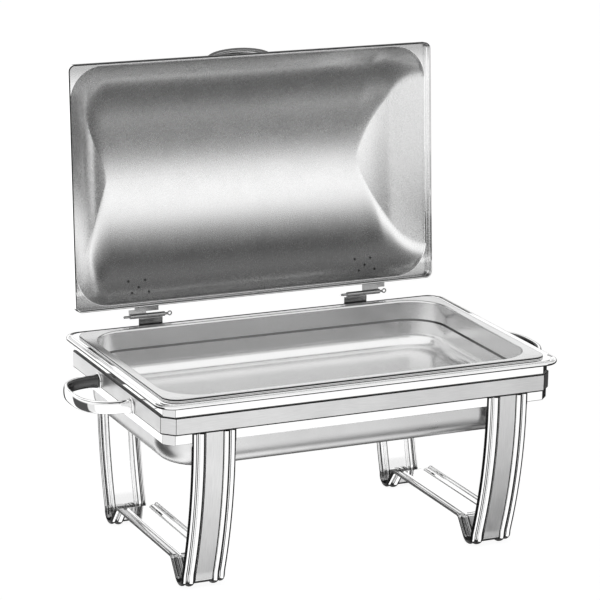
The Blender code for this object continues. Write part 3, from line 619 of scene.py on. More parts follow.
def leg_outline(edge):
    """The strip's section as (across, outward) points. The last side is the outer web.

    edge is how deep the folded edge is.
    """
    bead_low, bead_high = LEG_BEAD_X - LEG_BEAD_HALF, LEG_BEAD_X + LEG_BEAD_HALF
    fold_x = LEG_HALF_WIDTH - LEG_SHEET
    right = [(bead_low - 1.2 * MM, 0)]
    for step in range(LEG_BEAD_STEPS + 1):
        angle = pi * step / LEG_BEAD_STEPS
        across = LEG_BEAD_X - LEG_BEAD_HALF * cos(angle)
        right.append((across, LEG_BEAD_RISE * sin(angle) ** LEG_BEAD_FULLNESS))
    right.append((bead_high + 0.8 * MM, 0))
    right += [(LEG_HALF_WIDTH - inset * MM, outward * MM) for inset, outward in ROLL_OUTSIDE]
    # Down the folded edge and back up inside it.
    right += [
        (LEG_HALF_WIDTH - 0.6 * MM, -0.4 * edge),
        (LEG_HALF_WIDTH, -0.94 * edge),
        (LEG_HALF_WIDTH - 0.3 * MM, -edge),
        (fold_x + 0.3 * MM, -edge),
        (fold_x, -0.94 * edge),
        (fold_x, -0.5 * edge),
    ]
    right += [(LEG_HALF_WIDTH - inset * MM, outward * MM) for inset, outward in ROLL_INSIDE]
    right += [(LEG_HALF_WIDTH - 6 * MM, -LEG_SHEET), (bead_high - 0.6 * MM, -LEG_SHEET)]
    for step in range(1, LEG_BEAD_STEPS):
        angle = pi * step / LEG_BEAD_STEPS
        across = LEG_BEAD_X + (LEG_BEAD_HALF - 1.1 * MM) * cos(angle)
        rise = LEG_BEAD_RISE * sin(angle) ** LEG_BEAD_FULLNESS
        right.append((across, -LEG_SHEET + rise))
    right.append((bead_low + 0.6 * MM, -LEG_SHEET))
    mirrored = [(-across, outward) for across, outward in reversed(right)]
    return [(across, outward + LEG_SHEET) for across, outward in right + mirrored]


# Columns of the leg's skin that carry painted dark shade lines, counted from the web: on each
# side of the bead, down the roll's flank, and in the fold inside.
VALLEY_COLUMNS = (0, 14)
FLANK_COLUMNS = (21, 22, 23, 24)
INNER_COLUMNS = (27, 29, 31, 33, 44)

# How far the strip is from level, in degrees, where it counts as upright, and on the sole's
# painted dark shade, on its inside, and on the painted grey shade inside the toe.
UPRIGHT_TILT = 50
SOLE_TILT = 60
SOLE_INSIDE_TILT = 38
TOE_TILT = 68


def make_leg(name, side):
    front = leg_centre_line()
    line = front + [(-y, z, -heading) for y, z, heading in reversed(front)]
    web = len(leg_outline(LEG_EDGE)) - 1

    def choose(row, column):
        """The outer web is brushed. The lines along bead and roll, the soles and the toes'
        insides are darker: painted shade.
        """
        _, z, heading = line[row]
        tilt = abs(degrees(heading))
        upright = tilt > UPRIGHT_TILT
        near_column = min(column, web - 1 - column)
        outside = near_column <= FLANK_COLUMNS[-1]
        if near_column in VALLEY_COLUMNS + FLANK_COLUMNS:
            return PAINTED_SHADE_LINE
        if near_column in INNER_COLUMNS and upright:
            return PAINTED_SHADE_LINE
        if z < 2 * TOE_RADIUS:
            if tilt < (SOLE_TILT if outside else SOLE_INSIDE_TILT):
                return PAINTED_SHADE_LINE
            if tilt < TOE_TILT and not outside:
                # Painted shade: the toe's inside gets the grey fittings steel.
                return FITTINGS_AND_TOE_SHADE
        return STRIP_SATIN if column == web and upright else CHROME

    loops = []
    for y, z, heading in line:
        outline = leg_outline(LEG_SHEET if z >= LEG_BOW_START else LEG_EDGE)
        outward = Vector((0, sin(heading), -cos(heading)))
        centre = Vector((side * LEG_X, y, z))
        loops.append([centre + Vector((across, 0, 0)) + outward * out for across, out in outline])
    made = loft("leg", loops, CHROME, STRIP_SATIN, PAINTED_SHADE_LINE, FITTINGS_AND_TOE_SHADE, choose=choose)
    smooth(made, 40)
    finish_piece(made, f"leg_{name}", "stand")


# The screws' sizes: shank radius and length, head radius and height.
LEG_SCREW = (1.5 * MM, 2.9 * MM, 3.8 * MM, 2.6 * MM)
HANDLE_SCREW = (2 * MM, 14 * MM, 4.2 * MM, 3 * MM)


def pan_head_screw(node, sizes, seat, direction):
    """A pan-head screw whose head lies against seat and whose shank runs along direction."""
    shank_radius, shank_length, head_radius, head_height = sizes
    stations = [(0, 0.3 * head_radius), (0.1 * MM, 0.55 * head_radius)]
    stations += [(0.4 * MM, 0.8 * head_radius), (0.9 * MM, 0.95 * head_radius)]
    stations += [(1.5 * MM, head_radius), (head_height, head_radius)]
    stations += [(head_height, shank_radius), (head_height + shank_length, shank_radius)]
    made = turned("screw", stations, seat - direction * head_height, direction, FITTINGS_AND_TOE_SHADE, 32)
    finish_piece(made, node, "stand")


def make_leg_screws():
    number = 0
    for _, side_x in SIDES:
        for side_y in (-1, 1):
            for offset in (-LEG_SCREW_SPACING / 2, LEG_SCREW_SPACING / 2):
                number += 1
                x = side_x * LEG_X + offset
                seat = Vector((x, side_y * (SKIRT_HALF_Y - SKIRT_SHEET - GAP), LEG_SCREW_Z))
                direction = Vector((0, side_y, 0))
                pan_head_screw(f"leg_screw_{number}", LEG_SCREW, seat, direction)


# ---- handles


def strap_loops(half_span, reach, half_height, roundness):
    """Sections of a bowed strap, in local axes: X across the span, Y outwards, Z its height.

    Its sides are domed, its two edges are thin, and it widens towards its roots.
    """
    half_thickness = STRAP_HALF_THICKNESS
    bow_steps = 72
    line = []
    for step in range(bow_steps + 1):
        angle = pi * step / bow_steps
        cosine = cos(angle)
        x = -half_span * copysign(abs(cosine) ** roundness, cosine)
        line.append(Vector((x, (reach - half_thickness) * sin(angle) ** roundness, 0)))
    loops = []
    for step, point in enumerate(line):
        ahead = line[min(step + 1, bow_steps)]
        behind = line[max(step - 1, 0)]
        tangent = (ahead - behind).normalized()
        if step in (0, bow_steps):
            tangent = Vector((0, copysign(1, tangent.y), 0))
        outward = Vector((-tangent.y, tangent.x, 0))
        rooted = max(0, 1 - point.y / (STRAP_ROOT_SHARE * reach))
        flare = 1 + STRAP_FLARE * rooted**2
        loop = []
        for side in (1, -1):
            for index in range(STRAP_SIDE_POINTS):
                turn = radians(90) * (index / (STRAP_SIDE_POINTS - 1) * 2 - 1)
                across = side * half_thickness * max(0, cos(turn)) ** STRAP_SQUARENESS
                up = side * half_height * sin(turn)
                if index in (0, STRAP_SIDE_POINTS - 1):
                    across = side * STRAP_EDGE_SHARE * half_thickness
                loop.append(point + outward * across * flare + Vector((0, 0, up * flare)))
        loops.append(loop)
    return loops


def shade_inner_face(row, column):
    """Painted shade: the strap's inner face is darker than the rest."""
    inner = STRAP_SIDE_POINTS < column < 2 * STRAP_SIDE_POINTS - 2
    return SHADED if inner else CHROME


# The collars' sections, as (share of the length, inset in millimetres).
COLLAR_PROFILE = ((0, 0.3), (0.1, 0), (0.5, 0), (0.75, 0.25), (0.93, 0.8), (1, 1.6))
LID_COLLAR_PROFILE = ((0, 0), (0.5, 0), (0.7, 0.3), (0.88, 0.9), (1, 1.8))


def make_collar(node, body, start, outward, length, radius, profile, segments):
    stations = [(share * length, radius - inset * MM) for share, inset in profile]
    collar = turned("collar", stations, start, outward, CHROME, segments)
    finish_piece(collar, node, body)


def make_side_handles():
    collar_face = SKIRT_HALF_X + BAND_PROUD + GAP
    strap_face = collar_face + COLLAR_THICKNESS + GAP
    number = 0
    for name, side in SIDES:
        loops = strap_loops(
            HANDLE_HALF_SPAN, HANDLE_REACH, STRAP_HALF_HEIGHT, HANDLE_ROUNDNESS
        )
        handle = loft("handle", loops, CHROME, SHADED, choose=shade_inner_face)
        turn = Matrix.Rotation(radians(-90 * side), 4, "Z")
        handle.data.transform(Matrix.Translation((side * strap_face, 0, HANDLE_Z)) @ turn)
        smooth(handle, 60, weighted=False)
        finish_piece(handle, f"handle_{name}", "stand")
        outward = Vector((side, 0, 0))
        for side_y in (-1, 1):
            number += 1
            start = Vector((side * collar_face, side_y * HANDLE_HALF_SPAN, HANDLE_Z))
            node = f"handle_collar_{number}"
            sizes = (COLLAR_THICKNESS, COLLAR_RADIUS, COLLAR_PROFILE, 64)
            make_collar(node, "stand", start, outward, *sizes)
            seat = Vector((side * (SKIRT_HALF_X - SKIRT_SHEET - GAP), start.y, HANDLE_Z))
            pan_head_screw(f"handle_screw_{number}", HANDLE_SCREW, seat, outward)


# ---- pans


def floor_bend(ring, bottom, bend, sheet, steps):
    """The rings of a pan's rounded foot, from its floor up to its wall.

    sheet is 0 for the pan's inside and its thickness for the outside.
    """
    radius = bend + sheet
    for step in range(steps + 1):
        angle = radians(90) * step / steps
        inset = bend - radius * sin(angle)
        ring(-inset, bottom + bend - radius * cos(angle))


# A pan's mouth rolls over into its rim: (outset, drop) in millimetres.
MOUTH_ROLL = ((0, 3), (0.3, 1.4), (0.9, 0.5))
# A shallow groove inside the water pan's bead: (inset, drop) in millimetres.
RIM_GROOVE = ((8.4, 0), (7.8, 0.25), (7.2, 0.9), (6.2, 0.9), (5.6, 0.5))
# The bead's angles run down from its inner side, over its crest, to its underside. It has a
# painted dark shade from these on: along the front, on the pan's ends, and on its far side.
BEAD_PAINTED_SHADE_ANGLE = radians(-12)
BEAD_END_ANGLE = radians(20)
BEAD_FAR_ANGLE = radians(140)


def make_water_pan():
    loops = []
    bead_angles = {}
    rim_ring = rings_on(loops, RIM_HALF_X, RIM_HALF_Y, RIM_CORNER)

    def ring(outset, z):
        half_x, half_y = WATER_HALF_X + outset, WATER_HALF_Y + outset
        loops.append(rounded_rectangle(half_x, half_y, WATER_CORNER + min(outset, 0), z))

    floor_bend(ring, WATER_BOTTOM + SHEET, WATER_BEND, 0, WATER_BEND_STEPS)
    for outset, drop in MOUTH_ROLL:
        ring(outset * MM, RIM_TOP - drop * MM)
    rim_start = len(loops)
    ring(2 * MM, RIM_TOP)
    for inset, drop in RIM_GROOVE:
        rim_ring(-inset * MM, RIM_TOP - drop * MM)
    roll = RIM_LIP / 2
    roll_steps = 14
    for step in range(roll_steps + 1):
        angle = radians(150 - 240 * step / roll_steps)
        bead_angles[len(loops)] = angle
        rim_ring(-roll + roll * cos(angle), RIM_TOP - roll + roll * sin(angle))
    rim_ring(-roll, RIM_TOP - RIM_LIP + SHEET)
    inner_roll = roll - SHEET
    inner_steps = 6
    for step in range(inner_steps):
        angle = radians(-90 + 240 * step / inner_steps)
        outset = -roll + inner_roll * cos(angle)
        rim_ring(outset, RIM_TOP - roll + inner_roll * sin(angle))
    rim_ring(-6.6 * MM, RIM_TOP - 0.9 * MM - SHEET)
    rim_rows = range(rim_start, len(loops))
    ring(2 * MM, RIM_TOP - SHEET - GAP)
    ring(SHEET, RIM_TOP - SHEET - 1.5 * MM)
    outer = len(loops)
    floor_bend(ring, WATER_BOTTOM + SHEET, WATER_BEND, SHEET, WATER_BEND_STEPS)
    loops[outer:] = reversed(loops[outer:])

    def choose(row, column):
        """The rim is polished, with a painted shade line under its bead, on its ends and far
        side.
        """
        dark_from = BEAD_PAINTED_SHADE_ANGLE
        if abs(loops[row][column].x) > RIM_HALF_X - RIM_CORNER / 4:
            dark_from = BEAD_END_ANGLE
        if loops[row][column].y > RIM_HALF_Y - RIM_CORNER / 4:
            dark_from = BEAD_FAR_ANGLE
        if row in bead_angles and bead_angles[row] < dark_from:
            return PAINTED_SHADE_LINE
        return CHROME if row in rim_rows else SATIN

    made = loft("water_pan", loops, SATIN, CHROME, PAINTED_SHADE_LINE, choose=choose)
    smooth(made)
    finish_piece(made, "water_pan", "water_pan")


def make_food_pan():
    loops = []
    ring = rings_on(loops, FOOD_HALF_X, FOOD_HALF_Y, FOOD_CORNER)
    flange_ring = rings_on(loops, FLANGE_HALF_X, FLANGE_HALF_Y, FLANGE_CORNER)

    def stepped_ring(outset, z):
        ring(outset - FOOD_STEP, z)

    def step_rings(sheet):
        """The stacking step: a soft S between the lower and the upper wall."""
        for step in range(FOOD_STEP_ROWS + 1):
            share = step / FOOD_STEP_ROWS
            outset = -FOOD_STEP * (0.5 + 0.5 * cos(pi * share))
            ring(outset + sheet, FOOD_SHOULDER - (1 - share) * FOOD_STEP_HEIGHT - sheet)

    floor_bend(stepped_ring, FOOD_BOTTOM + SHEET, FOOD_BEND, 0, FOOD_BEND_STEPS)
    step_rows = range(len(loops), len(loops) + FOOD_STEP_ROWS)
    step_rings(0)
    for outset, drop in MOUTH_ROLL:
        ring(outset * MM, FLANGE_TOP - drop * MM)
    ring(2.2 * MM, FLANGE_TOP)
    for inset, drop in ((2.2, 0), (1.2, 0.1), (0.5, 0.4), (0.1, 1.1), (0, 1.8)):
        flange_ring(-inset * MM, FLANGE_TOP - drop * MM)
    edge_rows = (len(loops) - 3, len(loops) - 2)
    flange_ring(0, RIM_TOP + GAP)
    flange_ring(-SHEET, RIM_TOP + GAP)
    flange_ring(-SHEET, FLANGE_TOP - SHEET - 0.4 * MM)
    flange_ring(-2 * SHEET, FLANGE_TOP - SHEET)
    ring(SHEET + 2 * MM, FLANGE_TOP - SHEET)
    ring(SHEET, FLANGE_TOP - SHEET - 1.4 * MM)
    outer = len(loops)
    floor_bend(stepped_ring, FOOD_BOTTOM + SHEET, FOOD_BEND, SHEET, FOOD_BEND_STEPS)
    step_rings(SHEET)
    loops[outer:] = reversed(loops[outer:])

    def choose(row, column):
        """The walls are greyer than the floor, and the step and the flange's edge are dark: all
        painted shade.
        """
        if row in edge_rows:
            return PAINTED_SHADE_LINE
        if row in step_rows:
            return SHADED
        return SHADED_WALL_SATIN if FOOD_BEND_STEPS <= row < edge_rows[0] else PAN_SATIN

    made = loft("food_pan", loops, PAN_SATIN, SHADED_WALL_SATIN, PAINTED_SHADE_LINE, SHADED, choose=choose)
    smooth(made)
    finish_piece(made, "food_pan", "food_pan")


# ---- lid


def dome_half_y(height, outset=0):
    """Half the depth of the dome's barrel vault, at a height above the lid's flange."""
    half = LID_HALF_Y - LID_FLANGE + outset
    share = min(1, height / (DOME_HEIGHT + outset))
    return half * sqrt(1 - share * share)


def dome_half_x(height, outset=0):
    """Half the length of the dome: leaning ends that round over into the vault."""
    half = LID_HALF_X - LID_FLANGE + outset
    left = DOME_HEIGHT + outset - height
    rounding = max(0, 1 - left / DOME_END_BLEND)
    return half - DOME_END_SLOPE * height - DOME_END_INSET * (1 - sqrt(1 - rounding**2))


def dome_loops(outset):
    """Loops from the flange to the ridge, closer together as the vault flattens."""
    steps = 60
    loops = []
    for step in range(steps + 1):
        angle = DOME_RIDGE_ANGLE * step / steps
        height = (DOME_HEIGHT + outset) * sin(angle)
        half_y = dome_half_y(height, outset)
        corner = LID_CORNER_SHARE * half_y
        z = LID_FLANGE_TOP + height
        loops.append(rounded_rectangle(dome_half_x(height, outset), half_y, corner, z, LID_X))
    return loops


def make_lid_shell():
    def lip(inset, z):
        half_x, half_y = LID_HALF_X - inset, LID_HALF_Y - inset
        return rounded_rectangle(half_x, half_y, LID_CORNER - inset, z, LID_X)

    hem, bend = 0.9 * MM, 1.8 * MM
    loops = list(reversed(dome_loops(0)))
    lip_start = len(loops) - 1
    for step in range(7):
        angle = radians(90) * step / 6
        inset = bend * (1 - sin(angle))
        loops.append(lip(inset, LID_FLANGE_TOP - bend * (1 - cos(angle))))
    loops.append(lip(0.1 * MM, LID_LIP_BOTTOM + 2.6 * hem))
    # The lip's edge is hemmed with a small roll. It has painted shade lines outside and inside,
    # and its foot between the two catches the light.
    painted_shade_rows = [len(loops) + step for step in (1, 2, 3, 6, 7)]
    for step in range(9):
        angle = radians(40 - 260 * step / 8)
        inset = hem - hem * cos(angle)
        loops.append(lip(inset, LID_LIP_BOTTOM + hem + hem * sin(angle)))
    loops.append(lip(LID_SHEET, LID_LIP_BOTTOM + 2.8 * hem))
    for step in range(5):
        angle = radians(90) * step / 4
        inner_bend = bend - LID_SHEET
        inset = LID_SHEET + inner_bend * (1 - cos(angle))
        loops.append(lip(inset, LID_FLANGE_TOP - LID_SHEET - inner_bend * (1 - sin(angle))))
    lip_rows = range(lip_start, len(loops) - 1)
    mouth_rows = range(len(loops), len(loops) + 4)
    for step in range(5):
        angle = radians(90) * step / 4
        outset = LID_MOUTH_RADIUS * (1 - sin(angle)) - LID_SHEET
        rise = LID_MOUTH_RADIUS * (1 - cos(angle)) - LID_SHEET
        half_x, half_y = LID_HALF_X - LID_FLANGE + outset, LID_HALF_Y - LID_FLANGE + outset
        corner = LID_CORNER_SHARE * (half_y - outset) + outset
        loops.append(rounded_rectangle(half_x, half_y, corner, LID_FLANGE_TOP + rise, LID_X))
    loops += dome_loops(-LID_SHEET)[1:]

    def choose(row, column):
        """The lip and the mouth's edge are polished, and the hem has painted shade lines."""
        if row in painted_shade_rows:
            return PAINTED_SHADE_LINE
        return CHROME if row in lip_rows or row in mouth_rows else LID_SATIN

    made = loft("lid_shell", loops, LID_SATIN, CHROME, PAINTED_SHADE_LINE, choose=choose)
    smooth(made)
    finish_piece(made, "lid_shell", "lid")


def wall_point(height, outset):
    """A point on the shut lid's rear wall as (0, y, z), and its outward normal."""
    y = dome_half_y(height)
    half = LID_HALF_Y - LID_FLANGE
    normal = Vector((0, y / half**2, height / DOME_HEIGHT**2)).normalized()
    point = Vector((0, y, LID_FLANGE_TOP + height)) + normal * outset
    return point, normal


def make_lid_handle():
    rear, normal = wall_point(LID_HANDLE_HEIGHT, 0)
    foot = Vector((LID_HANDLE_X, -rear.y, rear.z))
    outward = Vector((0, -normal.y, normal.z))
    up = outward.cross(Vector((1, 0, 0)))
    strap_start = 2 * GAP + 2 * COLLAR_THICKNESS
    loops = strap_loops(LID_HANDLE_HALF_SPAN, LID_HANDLE_REACH, LID_STRAP_HALF_HEIGHT, 1)
    handle = loft("lid_handle", loops, CHROME)
    axes = Matrix((Vector((1, 0, 0)), outward, -up)).transposed().to_4x4()
    handle.data.transform(Matrix.Translation(foot + outward * strap_start) @ axes)
    smooth(handle, 60, weighted=False)
    finish_piece(handle, "lid_handle", "lid")
    for name, side in SIDES:
        start = foot + Vector((side * LID_HANDLE_HALF_SPAN, 0, 0)) + outward * GAP * 2
        sizes = (2 * COLLAR_THICKNESS - GAP, LID_COLLAR_RADIUS, LID_COLLAR_PROFILE, 48)
        make_collar(f"lid_handle_collar_{name}", "lid", start, outward, *sizes)


# ---- hinges


def hinge_shift(side):
    return side * HINGE_SPLIT_X + LID_X


def add_knuckle(leaf, carrier, x_low, x_high):
    """Join a bored knuckle and the piece that carries it to a leaf, and round the edges."""
    start = Vector((x_low, HINGE_Y, HINGE_Z))
    end = Vector((x_high, HINGE_Y, HINGE_Z))
    combine(leaf, [carrier, rod("knuckle", KNUCKLE_RADIUS, start, end)], "UNION")
    overrun = Vector((2 * MM, 0, 0))
    combine(leaf, [rod("bore", BORE_RADIUS, start - overrun, end + overrun)], "DIFFERENCE")
    soften(leaf, 0.2 * MM)


def make_base_leaf(name, side):
    """A flat leaf on the back of the water pan's rim, with the inner knuckle on top."""
    low = side * BASE_LEAF_X - LEAF_WIDTH / 2
    high = low + LEAF_WIDTH
    front = RIM_HALF_Y + GAP
    back = front + LEAF_SHEET

    def plate(bottom, top, x_low, x_high):
        outline = ((front, bottom), (back, bottom), (back, top), (front, top))
        return extrude_outline("plate", outline, x_low, x_high)

    split = hinge_shift(side)
    knuckle_low, knuckle_high = sorted((split - side * GAP, split - side * KNUCKLE_LENGTH))
    leaf = plate(RIM_TOP - RIM_LIP, BASE_LEAF_TOP, low, high)
    neck_low, neck_high = max(low, knuckle_low), min(high, knuckle_high)
    neck = plate(BASE_LEAF_TOP - 2 * MM, HINGE_Z + 0.5 * MM, neck_low, neck_high)
    add_knuckle(leaf, neck, knuckle_low, knuckle_high)
    finish_piece(leaf, f"hinge_base_{name}", "water_pan")


def make_lid_leaf(name, side):
    """A leaf bent over the lid's flange and up its rear wall, with the outer knuckle."""
    centre = side * LID_LEAF_X + LID_LEAF_SHIFT
    split = hinge_shift(side)
    knuckle_low, knuckle_high = sorted((split + side * GAP, split + side * KNUCKLE_LENGTH))
    arm_z = LID_FLANGE_TOP + GAP
    wall_steps = 24
    near, far = [], []
    for step in range(wall_steps + 1):
        height = LID_LEAF_BEND + (LID_LEAF_TOP - LID_LEAF_BEND) * step / wall_steps
        near.append(wall_point(height, GAP)[0].yz)
        far.append(wall_point(height, GAP + LEAF_SHEET)[0].yz)
    foot_y = dome_half_y(0) + 2 * GAP
    arm_end = HINGE_Y - KNUCKLE_RADIUS - 2 * MM
    plate_outline = [(foot_y, arm_z), (arm_end, arm_z), (arm_end, arm_z + LEAF_SHEET)]
    plate_outline += [(foot_y + LEAF_SHEET, arm_z + LEAF_SHEET), *far, *reversed(near)]
    leaf = extrude_outline(
        "leaf", plate_outline, centre - LEAF_WIDTH / 2, centre + LEAF_WIDTH / 2
    )
    arm_outline = (
        (arm_end - 3 * MM, arm_z + 0.2 * MM),
        (HINGE_Y, HINGE_Z + BORE_RADIUS),
        (HINGE_Y, HINGE_Z + KNUCKLE_RADIUS),
        (arm_end - 3 * MM, arm_z + LEAF_SHEET - 0.2 * MM),
    )
    arm = extrude_outline("arm", arm_outline, knuckle_low, knuckle_high)
    add_knuckle(leaf, arm, knuckle_low, knuckle_high)
    finish_piece(leaf, f"hinge_leaf_{name}", "lid")


def make_hinge_pin(name, side):
    """A loose pin with a rounded tip on the left and a ring to pull it out on the right."""
    split = hinge_shift(side)
    tip = split - KNUCKLE_LENGTH - PIN_TIP_BEYOND
    shank_end = split + KNUCKLE_LENGTH + PIN_EYE_BEYOND
    length = shank_end - tip
    stations = []
    tip_steps = 6
    for step in range(tip_steps + 1):
        angle = radians(90) * (0.12 + 0.88 * step / tip_steps)
        stations.append((PIN_RADIUS * (1 - cos(angle)), PIN_RADIUS * sin(angle)))
    stations += [(length - 1.2 * MM, PIN_RADIUS), (length, PIN_EYE_WIRE)]
    start = Vector((tip, HINGE_Y, HINGE_Z))
    pin = turned("pin", stations, start, (1, 0, 0), FITTINGS_AND_TOE_SHADE, 32)
    pin.modifiers.clear()
    centre = Vector((shank_end + PIN_EYE_RADIUS - 0.3 * MM, HINGE_Y, HINGE_Z))
    around, across = 48, 20
    loops = []
    for i in range(around):
        angle = tau * i / around
        spoke = Vector((cos(angle), 0, sin(angle)))
        loop = []
        for j in range(across):
            turn = tau * j / across
            offset = spoke * (PIN_EYE_RADIUS + PIN_EYE_WIRE * cos(turn))
            loop.append(centre + offset + Vector((0, PIN_EYE_WIRE * sin(turn), 0)))
        loops.append(loop)
    combine(pin, [loft("ring", loops, FITTINGS_AND_TOE_SHADE, closed=True)], "UNION")
    smooth(pin, 50, weighted=False)
    finish_piece(pin, f"hinge_pin_{name}", f"hinge_pin_{name}")


def make_rivet(node, body, stack, inner_face, direction):
    """A set rivet through a stack of sheets that starts at inner_face."""
    tail_height, head_height = 0.7 * MM, 0.85 * MM
    far_face = tail_height + stack + 2 * GAP
    stations = [(0, 0.5 * MM), (0.12 * MM, 1.05 * MM), (0.4 * MM, 1.55 * MM)]
    stations += [(tail_height, 1.75 * MM), (tail_height, 1 * MM), (far_face, 1 * MM)]
    stations += [(far_face, 2.1 * MM), (far_face + 0.45 * head_height, 1.9 * MM)]
    stations += [(far_face + 0.85 * head_height, 1.2 * MM), (far_face + head_height, 0.5 * MM)]
    start = inner_face - direction * (GAP + tail_height)
    made = turned("rivet", stations, start, direction, RIVET_STEEL, 28)
    finish_piece(made, node, body)


def make_rivets(name, side):
    outward = Vector((0, 1, 0))
    z = RIM_TOP - RIM_LIP / 2 - 0.4 * MM
    for number, offset in enumerate((-BASE_RIVET_SPREAD_X, BASE_RIVET_SPREAD_X), start=1):
        inner_face = Vector((side * BASE_LEAF_X + offset, RIM_HALF_Y - SHEET, z))
        node = f"base_rivet_{name}_{number}"
        stack = SHEET + GAP + LEAF_SHEET
        make_rivet(node, "water_pan", stack, inner_face, outward)
    centre = side * LID_LEAF_X + LID_LEAF_SHIFT
    places = ((-1, 0), (1, 0), (0, 1), (-1, 2), (1, 2))
    for number, (across, row) in enumerate(places, start=1):
        surface, outward = wall_point(RIVET_ROW_LOW + row * RIVET_ROW_STEP, -LID_SHEET)
        inner_face = surface + Vector((centre + across * RIVET_SPREAD_X, 0, 0))
        node = f"lid_rivet_{name}_{number}"
        make_rivet(node, "lid", LID_SHEET + GAP + LEAF_SHEET, inner_face, outward)


# ---- studio

CAMERA_PLACE = (-1.4992, -3.2477, 1.2874)
CAMERA_AIM = (0.0012, -0.0089, 0.3101)
CAMERA_ROLL = 1.02
CAMERA_LENS = 169.6
CAMERA_SENSOR = 36


def make_camera():
    camera = bpy.data.objects.new("camera", bpy.data.cameras.new("camera"))
    camera.data.lens = CAMERA_LENS
    camera.data.sensor_width = CAMERA_SENSOR
    camera.location = CAMERA_PLACE
    sight = (Vector(CAMERA_AIM) - Vector(CAMERA_PLACE)).to_track_quat("-Z", "Y")
    roll = Matrix.Rotation(radians(CAMERA_ROLL), 3, "Z").to_quaternion()
    camera.rotation_mode = "QUATERNION"
    camera.rotation_quaternion = sight @ roll
    bpy.context.scene.collection.objects.link(camera)
    bpy.context.scene.camera = camera


FLOOR_RADIUS = 40
FLOOR_GREY = 0.30
FLOOR_GLOW = 0.93


def glowing(name, grey, glow):
    """A matt grey that gives off white light of its own."""
    material = bpy.data.materials.new(name)
    material.use_nodes = True
    shader = material.node_tree.nodes["Principled BSDF"]
    shader.inputs["Base Color"].default_value = (grey, grey, grey, 1)
    shader.inputs["Roughness"].default_value = 1
    shader.inputs["Specular IOR Level"].default_value = 0
    shader.inputs["Emission Color"].default_value = (1, 1, 1, 1)
    shader.inputs["Emission Strength"].default_value = glow
    return material


def make_floor():
    bm = bmesh.new()
    bmesh.ops.create_circle(bm, cap_ends=True, radius=FLOOR_RADIUS, segments=96)
    floor = new_object("floor", bm, glowing("floor", FLOOR_GREY, FLOOR_GLOW))
    floor.visible_glossy = False


# Level cards that only reflections see: x from and to, y from and to, height, and glow. Each
# dark card, one before the stand and one over the pan, has a white card close beneath it.
CARDS = {
    "front_card": ((-1.2, 1.6), (-0.95, -0.21), 0.275, 0.05),
    "front_white_card": ((-1.2, 1.6), (-0.95, -0.21), 0.271, 0.9),
    "upper_card": ((-0.4, 0.6), (-0.12, 0.10), 0.304, 0.05),
    "white_card": ((-0.4, 0.6), (-0.12, 0.10), 0.300, 1.1),
}


def make_cards():
    for name, ((left, right), (near, far), height, glow) in CARDS.items():
        bm = bmesh.new()
        corners = ((left, near), (right, near), (right, far), (left, far))
        bm.faces.new([bm.verts.new((x, y, height)) for x, y in corners])
        card = new_object(name, bm, glowing(name, 0, glow))
        card.visible_camera = False
        card.visible_diffuse = False
        card.visible_shadow = False


def nearness(nodes, way, azimuth):
    """The cosine of the angle between way and an azimuth: 0 is -Y, the front, and 90 is +X."""
    turn = radians(azimuth)
    dot = nodes.add("ShaderNodeVectorMath", operation="DOT_PRODUCT")
    nodes.link(way, dot.inputs[0])
    dot.inputs[1].default_value = (sin(turn), -cos(turn), 0)
    return dot.outputs["Value"]


def cap(size, edge):
    """The cosines of the outer and the inner limit of a span with a soft edge."""
    return cos(radians(size + edge)), cos(radians(size))


def heights(low, high):
    """The heights on the unit sphere of two elevations."""
    return sin(radians(low)), sin(radians(high))


# Flags hung round the room: the azimuth of the middle, half the width, the lowest and the
# highest elevation, and the share of the light they let through. A share above 1 adds light.
FLAGS = (
    (110, 75, -61, 0, 0.02),
    (135, 30, -5, 10, 0.15),
    (-118, 27, -61, 0, 0.08),
    (-76, 12, -61, 0, 0.75),
    (-159, 7, -61, 0, 1.15),
    (30, 45, 15, 40, 0.2),
)
FLAG_EDGE = 4

# How bright the room is at each elevation: a white floor and walls, and a dim ceiling.
ROOM_LEVELS = ((-90, 1.25), (-45, 1.2), (-25, 1.1), (21, 1.1), (30, 0.2), (42, 0.13))


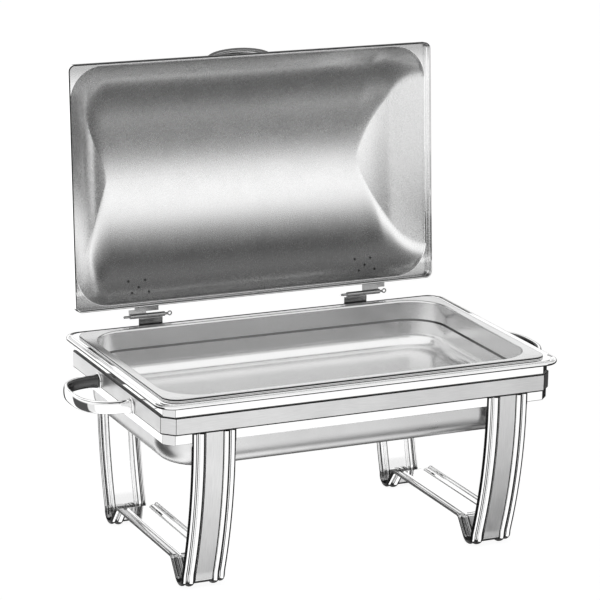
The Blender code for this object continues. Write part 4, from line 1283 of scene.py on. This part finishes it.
def make_room():
    """The scene's light: a soft white room with a dim ceiling and dark flags."""
    world = bpy.data.worlds.new("room")
    world.use_nodes = True
    bpy.context.scene.world = world
    tree = world.node_tree
    nodes = Nodes(tree)
    background = tree.nodes["Background"]
    way = nodes.add("ShaderNodeTexCoord").outputs["Generated"]
    parts = nodes.add("ShaderNodeSeparateXYZ")
    nodes.link(way, parts.inputs["Vector"])
    flattened = nodes.add("ShaderNodeVectorMath", operation="MULTIPLY")
    nodes.link(way, flattened.inputs[0])
    flattened.inputs[1].default_value = (1, 1, 0)
    levelled = nodes.add("ShaderNodeVectorMath", operation="NORMALIZE")
    nodes.link(flattened.outputs["Vector"], levelled.inputs[0])
    level_way = levelled.outputs["Vector"]

    ramp = nodes.add("ShaderNodeValToRGB")
    nodes.link(nodes.remap(parts.outputs["Z"], 0, 1, -1, 1), ramp.inputs["Fac"])
    elements = ramp.color_ramp.elements
    elements.remove(elements[1])
    for elevation, level in ROOM_LEVELS:
        height = (sin(radians(elevation)) + 1) / 2
        element = elements.new(height) if height else elements[0]
        element.color = (level, level, level, 1)
    level = ramp.outputs["Color"]

    for azimuth, half_width, low, high, share in FLAGS:
        close = nearness(nodes, level_way, azimuth)
        across = nodes.remap(close, 0, 1, *cap(half_width, FLAG_EDGE))
        up = nodes.remap(parts.outputs["Z"], 0, 1, *heights(low - FLAG_EDGE, low + FLAG_EDGE))
        down = nodes.remap(parts.outputs["Z"], 1, 0, *heights(high - FLAG_EDGE, high + FLAG_EDGE))
        covered = nodes.math("MULTIPLY", across, nodes.math("MULTIPLY", up, down))
        level = nodes.math("MULTIPLY", level, nodes.remap(covered, 1, share, 0, 1))

    background.inputs["Color"].default_value = (1, 1, 1, 1)
    nodes.link(level, background.inputs["Strength"])


# ---- assembly

make_frame()
make_band()
for side_name, side_sign in SIDES:
    make_leg(side_name, side_sign)
    make_base_leaf(side_name, side_sign)
    make_lid_leaf(side_name, side_sign)
    make_hinge_pin(side_name, side_sign)
    make_rivets(side_name, side_sign)
make_leg_screws()
make_side_handles()
make_water_pan()
make_food_pan()
make_lid_shell()
make_lid_handle()

make_camera()
make_floor()
make_cards()
make_room()
bpy.context.scene.view_settings.view_transform = "Standard"
